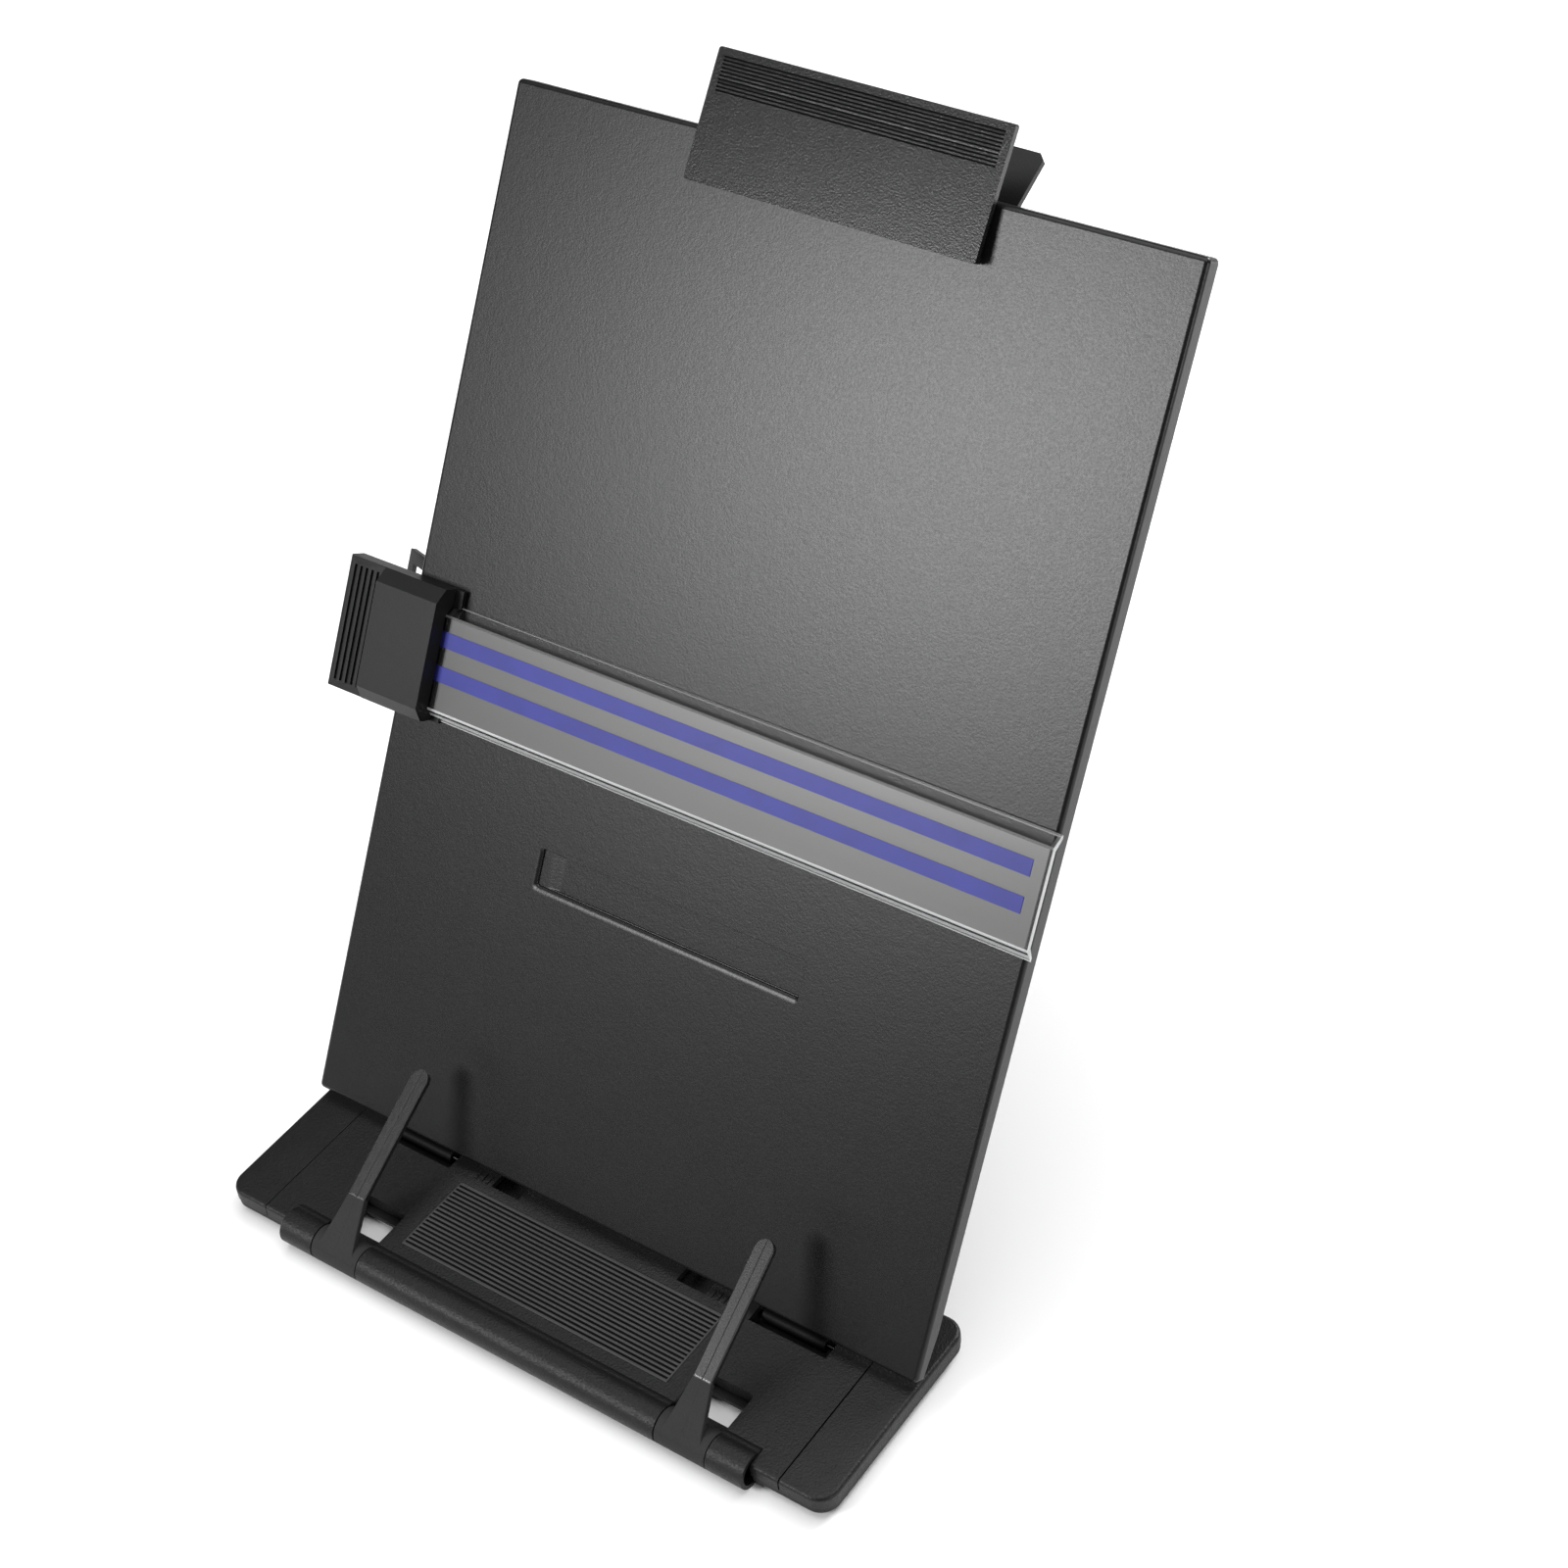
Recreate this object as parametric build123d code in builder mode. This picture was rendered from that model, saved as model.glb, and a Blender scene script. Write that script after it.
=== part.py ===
from build123d import *
import os
from math import acos, atan2, cos, degrees, radians, sin

# Copy holder with line guide. Millimetres; X to the reader's right, Y away from the reader, Z up.
# The origin is on the desk, under the middle of the base.

# ---- driving dimensions -------------------------------------------------------------------------
# Base
BASE_WIDTH = 249.0
BASE_DEPTH = 80.0
MAT_THICKNESS = 3.0
MAT_SIDE = 16.5
MAT_INSET = 12.0
MAT_CORNER = 4.0
MAT_CLEAR = 3.0
MAT_HOLE_RADIUS = 4.5
BASE_HEIGHT = 7.7
BASE_CORNER = 7.0
EDGE_ROUND = 1.4
SINK = 0.5
TRAY_HEIGHT = 2.6
TRAY_FLOOR = 1.6
TRAY_INSET = 0.3
TRAY_WALL = 3.0
TRAY_CHAMFER = 0.6
BAR_ROOM = 8.0
BAR_ROOM_SIDE = 0.4
PARTING_GAP = 0.25
END_WIDTH = 18.0
SEAM_GAP = 0.3
SKIN = 2.2
CAVITY_FRONT = 9.0
BOSS_RADIUS = 3.2
SCREW_HOLE_RADIUS = 1.6
SCREW_INSETS = (16.0, 10.0)
SCREW_FROM_SEAM = (7.0, 7.5)

# Front bar
BAR_RADIUS = 6.2
BAR_INSET = 1.2
BAR_SAG = 2.6
BAR_BLEND = 4.0
KNUCKLE_INSET = 10.5
KNUCKLE_BORE = 4.7
KNUCKLE_BORE_DEPTH = 7.0
AXLE_HEAD_RADIUS = 3.4
AXLE_HEAD = 1.8

# Page fingers
FINGER_INSET = 24.0
HUB_WIDTH = 19.6
SIDE_GAP = 0.3
AXLE_RADIUS = 1.9
AXLE_SEAT = 7.0
AXLE_CLEARANCE = 0.05
WASHER_RADIUS = 4.2
WASHER_POCKET = 0.6
KNEE_REACH = 20.8
TIP_REACH = 66.0
KNEE_LEAD = 20.0
LEFT_FINGER_RAISE = 38.9
RIGHT_FINGER_RAISE = 41.9
ARM_FOOT_WIDTH = 17.5
ARM_WIDTH = 7.0
ARM_THICKNESS = 2.4
FOOT_LAP = 1.5
FINGER_RIB = 2.0
RIB_REACH = 12.0
RIB_DROP = 9.0
RIB_FOOT_ANGLE = 60.0

# Windows, pad, slots and openings in the base. Windows and the pad's front are measured from the
# front face, the slots and openings from the hinge pins.
WINDOW_BACK = 22.3
WINDOW_FLOOR_FRONT = 11.5
WINDOW_FLOOR_BACK = 19.8
WINDOW_CORNER = 1.8
WINDOW_FLOOR_SIDE = 0.6
PAD_INSET = 16.5
PAD_FRONT = 11.8
PAD_TO_HINGE = 9.3
PAD_DEPTH = 1.2
PAD_BORDER = 0.7
PAD_RIBS = 17
PAD_CLEARANCE = 0.15
PAD_PROUD = 0.15
PAD_GROOVE = 0.75
PAD_GROOVE_SHARE = 0.52
SLOT_INSET = 13.5
SLOT_WIDTH = 30.0
SLOT_AHEAD = 6.9
SLOT_BEHIND = 7.5
OPENING_INSET = 18.0
OPENING_WIDTH = 11.7
OPENING_AHEAD = 5.8
OPENING_BEHIND = 20.0
TICK_GAP = 2.2
TICK_PITCH = 2.4
TICK_COUNT = 3
TICK_WIDTH = 0.9
TICK_LENGTH = 3.2
TICK_HEIGHT = 0.5

# Panel
PANEL_OVERHANG = 0.5
PANEL_HEIGHT = 352.3
SHEET = 1.2
FLANGE = 6.8
FOOT_FLANGE = 4.5
FLANGE_SLOPE = 5.5
BEND = 1.8
PANEL_TILT = 58.78
FOOT_AHEAD = 3.6
PANEL_FOOT_Z = 11.87
RECESS_WIDTH = 105.5
RECESS_LOW = 101.6
RECESS_HIGH = 114.2
RECESS_DEPTH = 1.8

# Hinge of the panel
HINGE_BACK = 27.5
HINGE_Z = 4.4
PIN_RADIUS = 1.25
PIN_CLEARANCE = 0.05
PIN_SEAT = 5.2
PIN_CHAMFER = 0.3
HINGE_BOSS = (5.4, 8.0)
EYE_WALL = 1.0
LUG_THICKNESS = 1.2
LUG_STRAIGHT = 7
LUG_BEND = 13
LUG_REACH = 38
LUG_LEFT_GAP = 1.5
LUG_RIGHT_GAP = 4.0
SECTOR_RADIUS = 14.0
SECTOR_THICKNESS = 2.0
TOOTH_STEP = 5.0
TOOTH_DEPTH = 0.7
PAWL_ANGLE = 23.0
PAWL_WIDTH = 5.0
PAWL_GAP = 0.35

# Prop behind the panel
PROP_PIVOT_UP = 172.0
PROP_PIVOT_OFF = -5.6
PROP_LENGTH = 179.5
PROP_PIN_RADIUS = 1.45
KNUCKLE_RADIUS = 2.5
PROP_TOP_HALF = 14.0
PROP_FOOT_HALF = 34.0
PROP_SHEET = 1.5
PROP_FLANGE = 6.0
PROP_FLANGE_SHORT = 14.0
PROP_SHEET_SHORT = 3.0
CUT_OUT_START = 0.234
CUT_OUT_END = 0.713
CUT_OUT_WEB = 11.5
CUT_OUT_CORNER = 6.0
SHOE_RADIUS = 4.0
SHOE_HALF = 36.0
SHOE_TAIL = 12.0
BRACKET_HALF = 18.5
BRACKET_SHEET = 1.5
BRACKET_WING = 11
BRACKET_HEIGHT = 24
BRACKET_CORNER = 3
BRACKET_CHEEK = 17
BRACKET_EAR_RADIUS = 4
STUD_RADIUS = 1.5
STUD_LENGTH = 5.0
STUD_SIDE = 6.0
STUD_SPACING = 14.0
NUT_HEIGHT = 2.2
NUT_RADIUS = 3.1

# Top clip
CLIP_X = 3.0
CLIP_WIDTH = 106.4
CLIP_TURN = 1.0
CLIP_GRASP = 17.6
CLIP_RISE = 23.5
CLIP_PLATE = 2.2
CLIP_OFF_LOW = 5.2
CLIP_OFF_HIGH = 1.6
CLIP_PIN_RISE = 5.9
CLIP_PIN_OFF = -4.4
CLIP_PIN_RADIUS = 1.5
CLIP_GROOVES = 10
CLIP_GROOVE_PITCH = 1.15
CLIP_GROOVE_TOP = 2.7
CLIP_GROOVE_INSET = 2.7
CLIP_GROOVE_DEPTH = 0.5
CLIP_CORNER = 1.0
CLIP_BACK_CHAMFER = 2.0
CLIP_BACK_RISE = 16.2
CLIP_BACK_OFF = -21.7
CLIP_BACK_SHEET = 2.0
CLIP_EAR_X = 34.0
EAR_WIDTH = 4.0
EAR_RADIUS = 3.2
CLIP_BEND = (-10.0, -9.6)
JAW_GAP = 0.3
JAW_INSET = 1.1
JAW_WIDTH = 1.8
JAW_SHORT = 3.0
PAD = 0.9
SPRING_SHEET = 0.5
SPRING_WIDTH = 11.0

# Line guide
GUIDE_UP = 164.1
GUIDE_HALF = 22.9
GUIDE_OUT = 24.5
GUIDE_STEP_OUT = 8.5
GUIDE_IN = 18.0
GRIP_OFF = 7.2
BLOCK_OFF = 11.2
BLOCK_BEVEL = 4.6
BLOCK_DROP = 3.8
GUIDE_WALL = 1.8
GUIDE_EAR_UP = 16.0
BACK_EDGE = 0.4
GRIP_GROOVES = 5
GRIP_GROOVE_START = 3.2
GRIP_GROOVE_PITCH = 2.45
GRIP_GROOVE_WIDTH = 1.0
GRIP_GROOVE_INSET = 2.7
GRIP_GROOVE_DEPTH = 0.7
GRIP_ROUND = 1.2
GUIDE_PIN_OUT = 4.0
GUIDE_PIN_OFF = -3.6
GUIDE_PIN_RADIUS = 1.5
GUIDE_BACK_OUT = 20.6
GUIDE_JAW_INSET = 5.5
GUIDE_BEND_IN = 4.0
GUIDE_BEND_OFF = -9.8
GUIDE_FRAME_SIDE = 4.0
GUIDE_FRAME_END = 4.5
GUIDE_BACK_HALF = 25.0
GUIDE_BACK_OFF = -20.5
STRIP_OVERHANG = 1.8
STRIP_SEAT = 6.0
SOCKET_WIDTH = 3.6
SOCKET_LIP = 2.4
STRIP_HALF = 20.0
STRIP_FACE_HALF = 16.2
STRIP_OFF = 5.0
STRIP_BACK_OFF = 1.0
STRIP_SHEET = 1.3
STRIP_DROP = 2.2
LINE_WIDTH = 5.4
LINE_PLACES = (6.1, -5.6)
LINE_INSET = 5.5
LINE_START = 0.1
LINE_THICKNESS = 0.2

# ---- derived places -----------------------------------------------------------------------------
FRONT = -BASE_DEPTH / 2
BASE_BOTTOM = MAT_THICKNESS
BASE_TOP = BASE_BOTTOM + BASE_HEIGHT
TRAY_TOP = BASE_BOTTOM + TRAY_HEIGHT
FLOOR_TOP = BASE_BOTTOM + TRAY_FLOOR
SHELL_BOTTOM = TRAY_TOP + PARTING_GAP
SKIN_BOTTOM = BASE_TOP - SKIN
BAR_Y = FRONT + BAR_INSET
BAR_Z = BASE_BOTTOM + BAR_RADIUS - BAR_SAG
SEAM_X = BASE_WIDTH / 2 - END_WIDTH
KNUCKLE_END = SEAM_X - KNUCKLE_INSET
FINGER_X = KNUCKLE_END - FINGER_INSET
HUB_IN = FINGER_X - HUB_WIDTH / 2
HUB_OUT = FINGER_X + HUB_WIDTH / 2
GAP_IN = HUB_IN - SIDE_GAP
GAP_OUT = HUB_OUT + SIDE_GAP
PIN_Y = FRONT + BASE_DEPTH - HINGE_BACK
PIN_Z = BASE_BOTTOM + HINGE_Z
EYE_RADIUS = PIN_RADIUS + PIN_CLEARANCE + EYE_WALL
PAD_WIDTH = 2 * (FINGER_X - PAD_INSET)
PAD_LOW = FRONT + PAD_FRONT
PAD_HIGH = PIN_Y - PAD_TO_HINGE
SLOT_OUT = SEAM_X - SLOT_INSET
SLOT_IN = SLOT_OUT - SLOT_WIDTH
OPENING_OUT = SLOT_IN - OPENING_INSET
OPENING_IN = OPENING_OUT - OPENING_WIDTH
SCREW_X = (0, SEAM_X - SCREW_FROM_SEAM[1], SEAM_X + SCREW_FROM_SEAM[0])
SCREW_Y = (FRONT + SCREW_INSETS[0], -FRONT - SCREW_INSETS[1])
SCREW_PLACES = [(x, y) for x in sorted({side * x for x in SCREW_X for side in (-1, 1)}) for y in SCREW_Y]
PANEL_WIDTH = BASE_WIDTH + 2 * PANEL_OVERHANG
STUD_GRID = (2 * (BRACKET_HALF + STUD_SIDE), STUD_SPACING)
PANEL_EDGE = -PANEL_WIDTH / 2
CLIP_PIN_UP = PANEL_HEIGHT + CLIP_PIN_RISE
GUIDE_LEFT = PANEL_EDGE - GUIDE_OUT
GUIDE_STEP = PANEL_EDGE - GUIDE_STEP_OUT
GUIDE_RIGHT = PANEL_EDGE + GUIDE_IN
GUIDE_PIN_X = PANEL_EDGE - GUIDE_PIN_OUT
GUIDE_BACK_LEFT = PANEL_EDGE - GUIDE_BACK_OUT
GUIDE_BEND_X = GUIDE_PIN_X + GUIDE_BEND_IN
STRIP_LEFT = GUIDE_RIGHT - STRIP_SEAT
STRIP_RIGHT = -PANEL_EDGE + STRIP_OVERHANG

PANEL_FACE = Plane(
    origin=(0, PIN_Y - FOOT_AHEAD, BASE_BOTTOM + PANEL_FOOT_Z),
    x_dir=(1, 0, 0),
    z_dir=(0, -sin(radians(PANEL_TILT)), cos(radians(PANEL_TILT))),
)


def side_of(face):
    """The plane across a face: its own x runs up the face, its own y out of it."""
    return Plane(origin=face.origin, x_dir=face.y_dir, z_dir=face.x_dir)


def cross_of(face):
    """The plane square to a face's upward line: x runs along the face, y out of it."""
    return Plane(origin=face.origin, x_dir=face.x_dir, z_dir=-face.y_dir)


def finish(piece, name):
    """Labels a finished piece and writes its STEP file."""
    piece.part.label = name
    export_step(piece.part, f"parts/{name}.step")


PANEL_SIDE = side_of(PANEL_FACE)
HINGE_ON_PANEL = PANEL_FACE.to_local_coords(Vector(0, PIN_Y, PIN_Z))
HINGE_UP = HINGE_ON_PANEL.Y
HINGE_OFF = HINGE_ON_PANEL.Z

os.makedirs("parts", exist_ok=True)

# ---- base ---------------------------------------------------------------------------------------
# The bar's round and the valley that blends it into the flat top share one tangent arc.
BLEND_REACH = ((BAR_RADIUS + BAR_BLEND) ** 2 - (BASE_TOP + BAR_BLEND - BAR_Z) ** 2) ** 0.5
BLEND_SHARE = BAR_RADIUS / (BAR_RADIUS + BAR_BLEND)
BLEND_TOUCH = (
    BAR_Y + BLEND_SHARE * BLEND_REACH,
    BAR_Z + BLEND_SHARE * (BASE_TOP + BAR_BLEND - BAR_Z),
)

with BuildPart() as base_centre_shell:
    with BuildSketch(Plane.XY.offset(SHELL_BOTTOM)):
        Rectangle(2 * SEAM_X - SEAM_GAP, BASE_DEPTH)
    extrude(amount=BASE_TOP - SHELL_BOTTOM)
    fillet(base_centre_shell.edges().filter_by(Axis.X).group_by(Axis.Z)[-1], EDGE_ROUND)

    # Cavity under the top skin, with walls left round the finger windows
    with BuildSketch(Plane.XY.offset(SHELL_BOTTOM)):
        with Locations((0, (CAVITY_FRONT - SKIN) / 2)):
            Rectangle(2 * (SEAM_X - SKIN), BASE_DEPTH - SKIN - CAVITY_FRONT)
        with Locations((-FINGER_X, FRONT), (FINGER_X, FRONT)):
            Rectangle(GAP_OUT - GAP_IN + 2 * SKIN, 2 * (WINDOW_BACK + SKIN), mode=Mode.SUBTRACT)
    extrude(amount=SKIN_BOTTOM - SHELL_BOTTOM, mode=Mode.SUBTRACT)

    # Screw bosses and hinge bosses stand on the tray's floor
    with BuildSketch(Plane.XY.offset(FLOOR_TOP)):
        with Locations(*[(x, y) for x, y in SCREW_PLACES if abs(x) < SEAM_X]):
            Circle(BOSS_RADIUS)
        for side in (-1, 1):
            with Locations((side * (SLOT_IN - 3), PIN_Y), (side * (SLOT_OUT + 3), PIN_Y)):
                Rectangle(*HINGE_BOSS)
    extrude(amount=SKIN_BOTTOM - FLOOR_TOP + SINK)

    # Front bar and knuckles, open where the finger hubs sit
    for start, end in ((-KNUCKLE_END, -GAP_OUT), (-GAP_IN, GAP_IN), (GAP_OUT, KNUCKLE_END)):
        with BuildSketch(Plane.YZ.offset(start)):
            with Locations((BAR_Y, BAR_Z)):
                Circle(BAR_RADIUS)
            with BuildLine():
                Line((BAR_Y, BAR_Z), BLEND_TOUCH)
                RadiusArc(BLEND_TOUCH, (BAR_Y + BLEND_REACH, BASE_TOP), BAR_BLEND)
                Polyline(
                    (BAR_Y + BLEND_REACH, BASE_TOP),
                    (BAR_Y + BLEND_REACH, SKIN_BOTTOM),
                    (BAR_Y, BAR_Z),
                )
            make_face()
        extrude(amount=end - start)

    # Finger windows with rounded back corners
    with BuildSketch(Plane.XY.offset(BASE_TOP + BAR_RADIUS)):
        with Locations((-FINGER_X, FRONT), (FINGER_X, FRONT)):
            RectangleRounded(GAP_OUT - GAP_IN, 2 * WINDOW_BACK, WINDOW_CORNER)
    extrude(amount=-3 * BAR_RADIUS, mode=Mode.SUBTRACT)

    # Hinge slots, ratchet openings, bed of the ribbed pad
    with BuildSketch(Plane.XY.offset(BASE_TOP)):
        for side in (-1, 1):
            with Locations((side * (SLOT_IN + SLOT_OUT) / 2, PIN_Y + (SLOT_BEHIND - SLOT_AHEAD) / 2)):
                Rectangle(SLOT_WIDTH, SLOT_AHEAD + SLOT_BEHIND)
            with Locations(
                (side * (OPENING_IN + OPENING_OUT) / 2, PIN_Y + (OPENING_BEHIND - OPENING_AHEAD) / 2)
            ):
                Rectangle(OPENING_WIDTH, OPENING_AHEAD + OPENING_BEHIND)
    extrude(amount=FLOOR_TOP - BASE_TOP, mode=Mode.SUBTRACT)
    with BuildSketch(Plane.XY.offset(BASE_TOP)):
        with Locations((0, (PAD_LOW + PAD_HIGH) / 2)):
            Rectangle(PAD_WIDTH, PAD_HIGH - PAD_LOW)
    extrude(amount=-PAD_DEPTH, mode=Mode.SUBTRACT)

    # Tick ribs beside the ratchet openings
    with BuildSketch(Plane.XY.offset(BASE_TOP)):
        for side in (-1, 1):
            for tick in range(TICK_COUNT):
                tick_x = side * (OPENING_OUT + TICK_GAP + tick * TICK_PITCH)
                with Locations((tick_x, PIN_Y - OPENING_AHEAD + TICK_LENGTH / 2)):
                    Rectangle(TICK_WIDTH, TICK_LENGTH)
    extrude(amount=TICK_HEIGHT)

    # Bores for the hinge pins and the finger axles; the knuckles' outer ends are recessed
    for side in (-1, 1):
        with BuildSketch(Plane.YZ.offset(side * (SLOT_IN - PIN_SEAT - SINK))):
            with Locations((PIN_Y, PIN_Z)):
                Circle(PIN_RADIUS)
        extrude(amount=side * (SLOT_WIDTH + 2 * PIN_SEAT + 2 * SINK), mode=Mode.SUBTRACT)
        with BuildSketch(Plane.YZ.offset(side * (HUB_IN - AXLE_SEAT - SINK))):
            with Locations((BAR_Y, BAR_Z)):
                Circle(AXLE_RADIUS)
        extrude(amount=side * (KNUCKLE_END - HUB_IN + AXLE_SEAT + SINK), mode=Mode.SUBTRACT)
        with BuildSketch(Plane.YZ.offset(side * (KNUCKLE_END - KNUCKLE_BORE_DEPTH))):
            with Locations((BAR_Y, BAR_Z)):
                Circle(KNUCKLE_BORE)
        extrude(amount=side * KNUCKLE_BORE_DEPTH, mode=Mode.SUBTRACT)
finish(base_centre_shell, "base_centre_shell")

for side, name in ((-1, "base_end_left"), (1, "base_end_right")):
    with BuildPart() as base_end:
        with BuildSketch(Plane.XY.offset(SHELL_BOTTOM)):
            RectangleRounded(BASE_WIDTH, BASE_DEPTH, BASE_CORNER)
            with Locations((side * (SEAM_X + SEAM_GAP / 2 - BASE_WIDTH), 0)):
                Rectangle(2 * BASE_WIDTH, 2 * BASE_DEPTH, mode=Mode.SUBTRACT)
        extrude(amount=BASE_TOP - SHELL_BOTTOM)
        rim = base_end.faces().sort_by(Axis.Z)[-1].edges()
        seam_edge = rim.filter_by(Axis.Y).sort_by(Axis.X)[-1 if side < 0 else 0]
        fillet([edge for edge in rim if edge != seam_edge], EDGE_ROUND)
        with BuildSketch(Plane.XY.offset(SHELL_BOTTOM)):
            with Locations((side * (SEAM_X + BASE_WIDTH / 2) / 2, 0)):
                RectangleRounded(END_WIDTH - 2 * SKIN, BASE_DEPTH - 2 * SKIN, BASE_CORNER - SKIN)
        extrude(amount=SKIN_BOTTOM - SHELL_BOTTOM, mode=Mode.SUBTRACT)
        with BuildSketch(Plane.XY.offset(FLOOR_TOP)):
            with Locations(*[(x, y) for x, y in SCREW_PLACES if x * side > SEAM_X]):
                Circle(BOSS_RADIUS)
        extrude(amount=SKIN_BOTTOM - FLOOR_TOP + SINK)
    finish(base_end, name)

with BuildPart() as base_bottom_tray:
    with BuildSketch(Plane.XY.offset(BASE_BOTTOM)):
        RectangleRounded(
            BASE_WIDTH - 2 * TRAY_INSET, BASE_DEPTH - 2 * TRAY_INSET, BASE_CORNER - TRAY_INSET
        )
    extrude(amount=TRAY_HEIGHT)
    chamfer(base_bottom_tray.faces().sort_by(Axis.Z)[0].edges(), TRAY_CHAMFER)
    with BuildSketch(Plane.XY.offset(FLOOR_TOP)):
        RectangleRounded(BASE_WIDTH - 2 * TRAY_WALL, BASE_DEPTH - 2 * TRAY_WALL, BASE_CORNER - TRAY_WALL)
    extrude(amount=TRAY_HEIGHT, mode=Mode.SUBTRACT)
    # Room for the front bar and the finger hubs, then the windows' floor openings
    with BuildSketch(Plane.XY):
        with Locations((0, FRONT)):
            Rectangle(2 * (KNUCKLE_END + BAR_ROOM_SIDE), 2 * BAR_ROOM)
        with Locations(
            *[(side * FINGER_X, FRONT + (WINDOW_FLOOR_FRONT + WINDOW_FLOOR_BACK) / 2) for side in (-1, 1)]
        ):
            RectangleRounded(
                GAP_OUT - GAP_IN - 2 * WINDOW_FLOOR_SIDE, WINDOW_FLOOR_BACK - WINDOW_FLOOR_FRONT, 1.2
            )
        with Locations(*SCREW_PLACES):
            Circle(SCREW_HOLE_RADIUS)
    extrude(amount=BASE_TOP, mode=Mode.SUBTRACT)
finish(base_bottom_tray, "base_bottom_tray")

with BuildPart() as non_slip_mat:
    with BuildSketch(Plane.XY):
        RectangleRounded(BASE_WIDTH - 2 * MAT_SIDE, BASE_DEPTH - 2 * MAT_INSET, MAT_CORNER)
        with Locations((-FINGER_X, FRONT), (FINGER_X, FRONT)):
            Rectangle(GAP_OUT - GAP_IN + 2 * MAT_CLEAR, 2 * (WINDOW_BACK + MAT_CLEAR), mode=Mode.SUBTRACT)
        with Locations(*SCREW_PLACES):
            Circle(MAT_HOLE_RADIUS, mode=Mode.SUBTRACT)
    extrude(amount=MAT_THICKNESS)
finish(non_slip_mat, "non_slip_mat")

with BuildPart() as base_screws:
    for x, y in SCREW_PLACES:
        with BuildSketch(Plane.XY.offset(BASE_BOTTOM - 1.3)):
            with Locations((x, y)):
                Circle(2.8)
        extrude(amount=1.3)
        with BuildSketch(Plane.XY.offset(BASE_BOTTOM)):
            with Locations((x, y)):
                Circle(1.5)
        extrude(amount=TRAY_FLOOR)
        with BuildSketch(Plane.XY.offset(BASE_BOTTOM - 1.3)):
            with Locations((x, y)):
                Rectangle(3.2, 0.7)
                Rectangle(0.7, 3.2)
        extrude(amount=0.7, mode=Mode.SUBTRACT)
finish(base_screws, "base_screws")

with BuildPart() as ribbed_pad:
    pad_y = (PAD_LOW + PAD_HIGH) / 2
    pad_length = PAD_WIDTH - 2 * PAD_CLEARANCE
    pad_depth = PAD_HIGH - PAD_LOW - 2 * PAD_CLEARANCE
    with BuildSketch(Plane.XY.offset(BASE_TOP - PAD_DEPTH)):
        with Locations((0, pad_y)):
            Rectangle(pad_length, pad_depth)
    extrude(amount=PAD_DEPTH + PAD_PROUD)
    groove_pitch = (pad_depth - 2 * PAD_BORDER) / PAD_RIBS
    with BuildSketch(Plane.XY.offset(BASE_TOP + PAD_PROUD)):
        with Locations((0, pad_y)):
            with GridLocations(0, groove_pitch, 1, PAD_RIBS):
                Rectangle(pad_length - 2 * PAD_BORDER, groove_pitch * PAD_GROOVE_SHARE)
    extrude(amount=-PAD_GROOVE, mode=Mode.SUBTRACT)
finish(ribbed_pad, "ribbed_pad")

for side, name in ((-1, "hinge_pin_left"), (1, "hinge_pin_right")):
    with BuildPart() as hinge_pin:
        with BuildSketch(Plane.YZ.offset(side * (SLOT_IN - PIN_SEAT))):
            with Locations((PIN_Y, PIN_Z)):
                Circle(PIN_RADIUS)
        extrude(amount=side * (SLOT_WIDTH + 2 * PIN_SEAT))
        chamfer(hinge_pin.edges().filter_by(GeomType.CIRCLE), PIN_CHAMFER)
    finish(hinge_pin, name)

for side, name in ((-1, "finger_axle_left"), (1, "finger_axle_right")):
    with BuildPart() as finger_axle:
        with BuildSketch(Plane.YZ.offset(side * (HUB_IN - AXLE_SEAT))):
            with Locations((BAR_Y, BAR_Z)):
                Circle(AXLE_RADIUS)
        extrude(amount=side * (KNUCKLE_END - KNUCKLE_BORE_DEPTH - HUB_IN + AXLE_SEAT))
        with BuildSketch(Plane.YZ.offset(side * (KNUCKLE_END - KNUCKLE_BORE_DEPTH))):
            with Locations((BAR_Y, BAR_Z)):
                Circle(AXLE_HEAD_RADIUS)
        extrude(amount=side * AXLE_HEAD)
    finish(finger_axle, name)

# A washer in each end of a hub stands on the pocket's floor and bears on the knuckle.
with BuildPart() as finger_washers:
    for side in (-1, 1):
        for face in (HUB_IN + WASHER_POCKET, HUB_OUT - WASHER_POCKET):
            outwards = side if face > FINGER_X else -side
            with BuildSketch(Plane.YZ.offset(side * face)):
                with Locations((BAR_Y, BAR_Z)):
                    Circle(WASHER_RADIUS - SIDE_GAP)
                    Circle(AXLE_RADIUS, mode=Mode.SUBTRACT)
            extrude(amount=outwards * (WASHER_POCKET + SIDE_GAP))
finish(finger_washers, "finger_washers")


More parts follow.
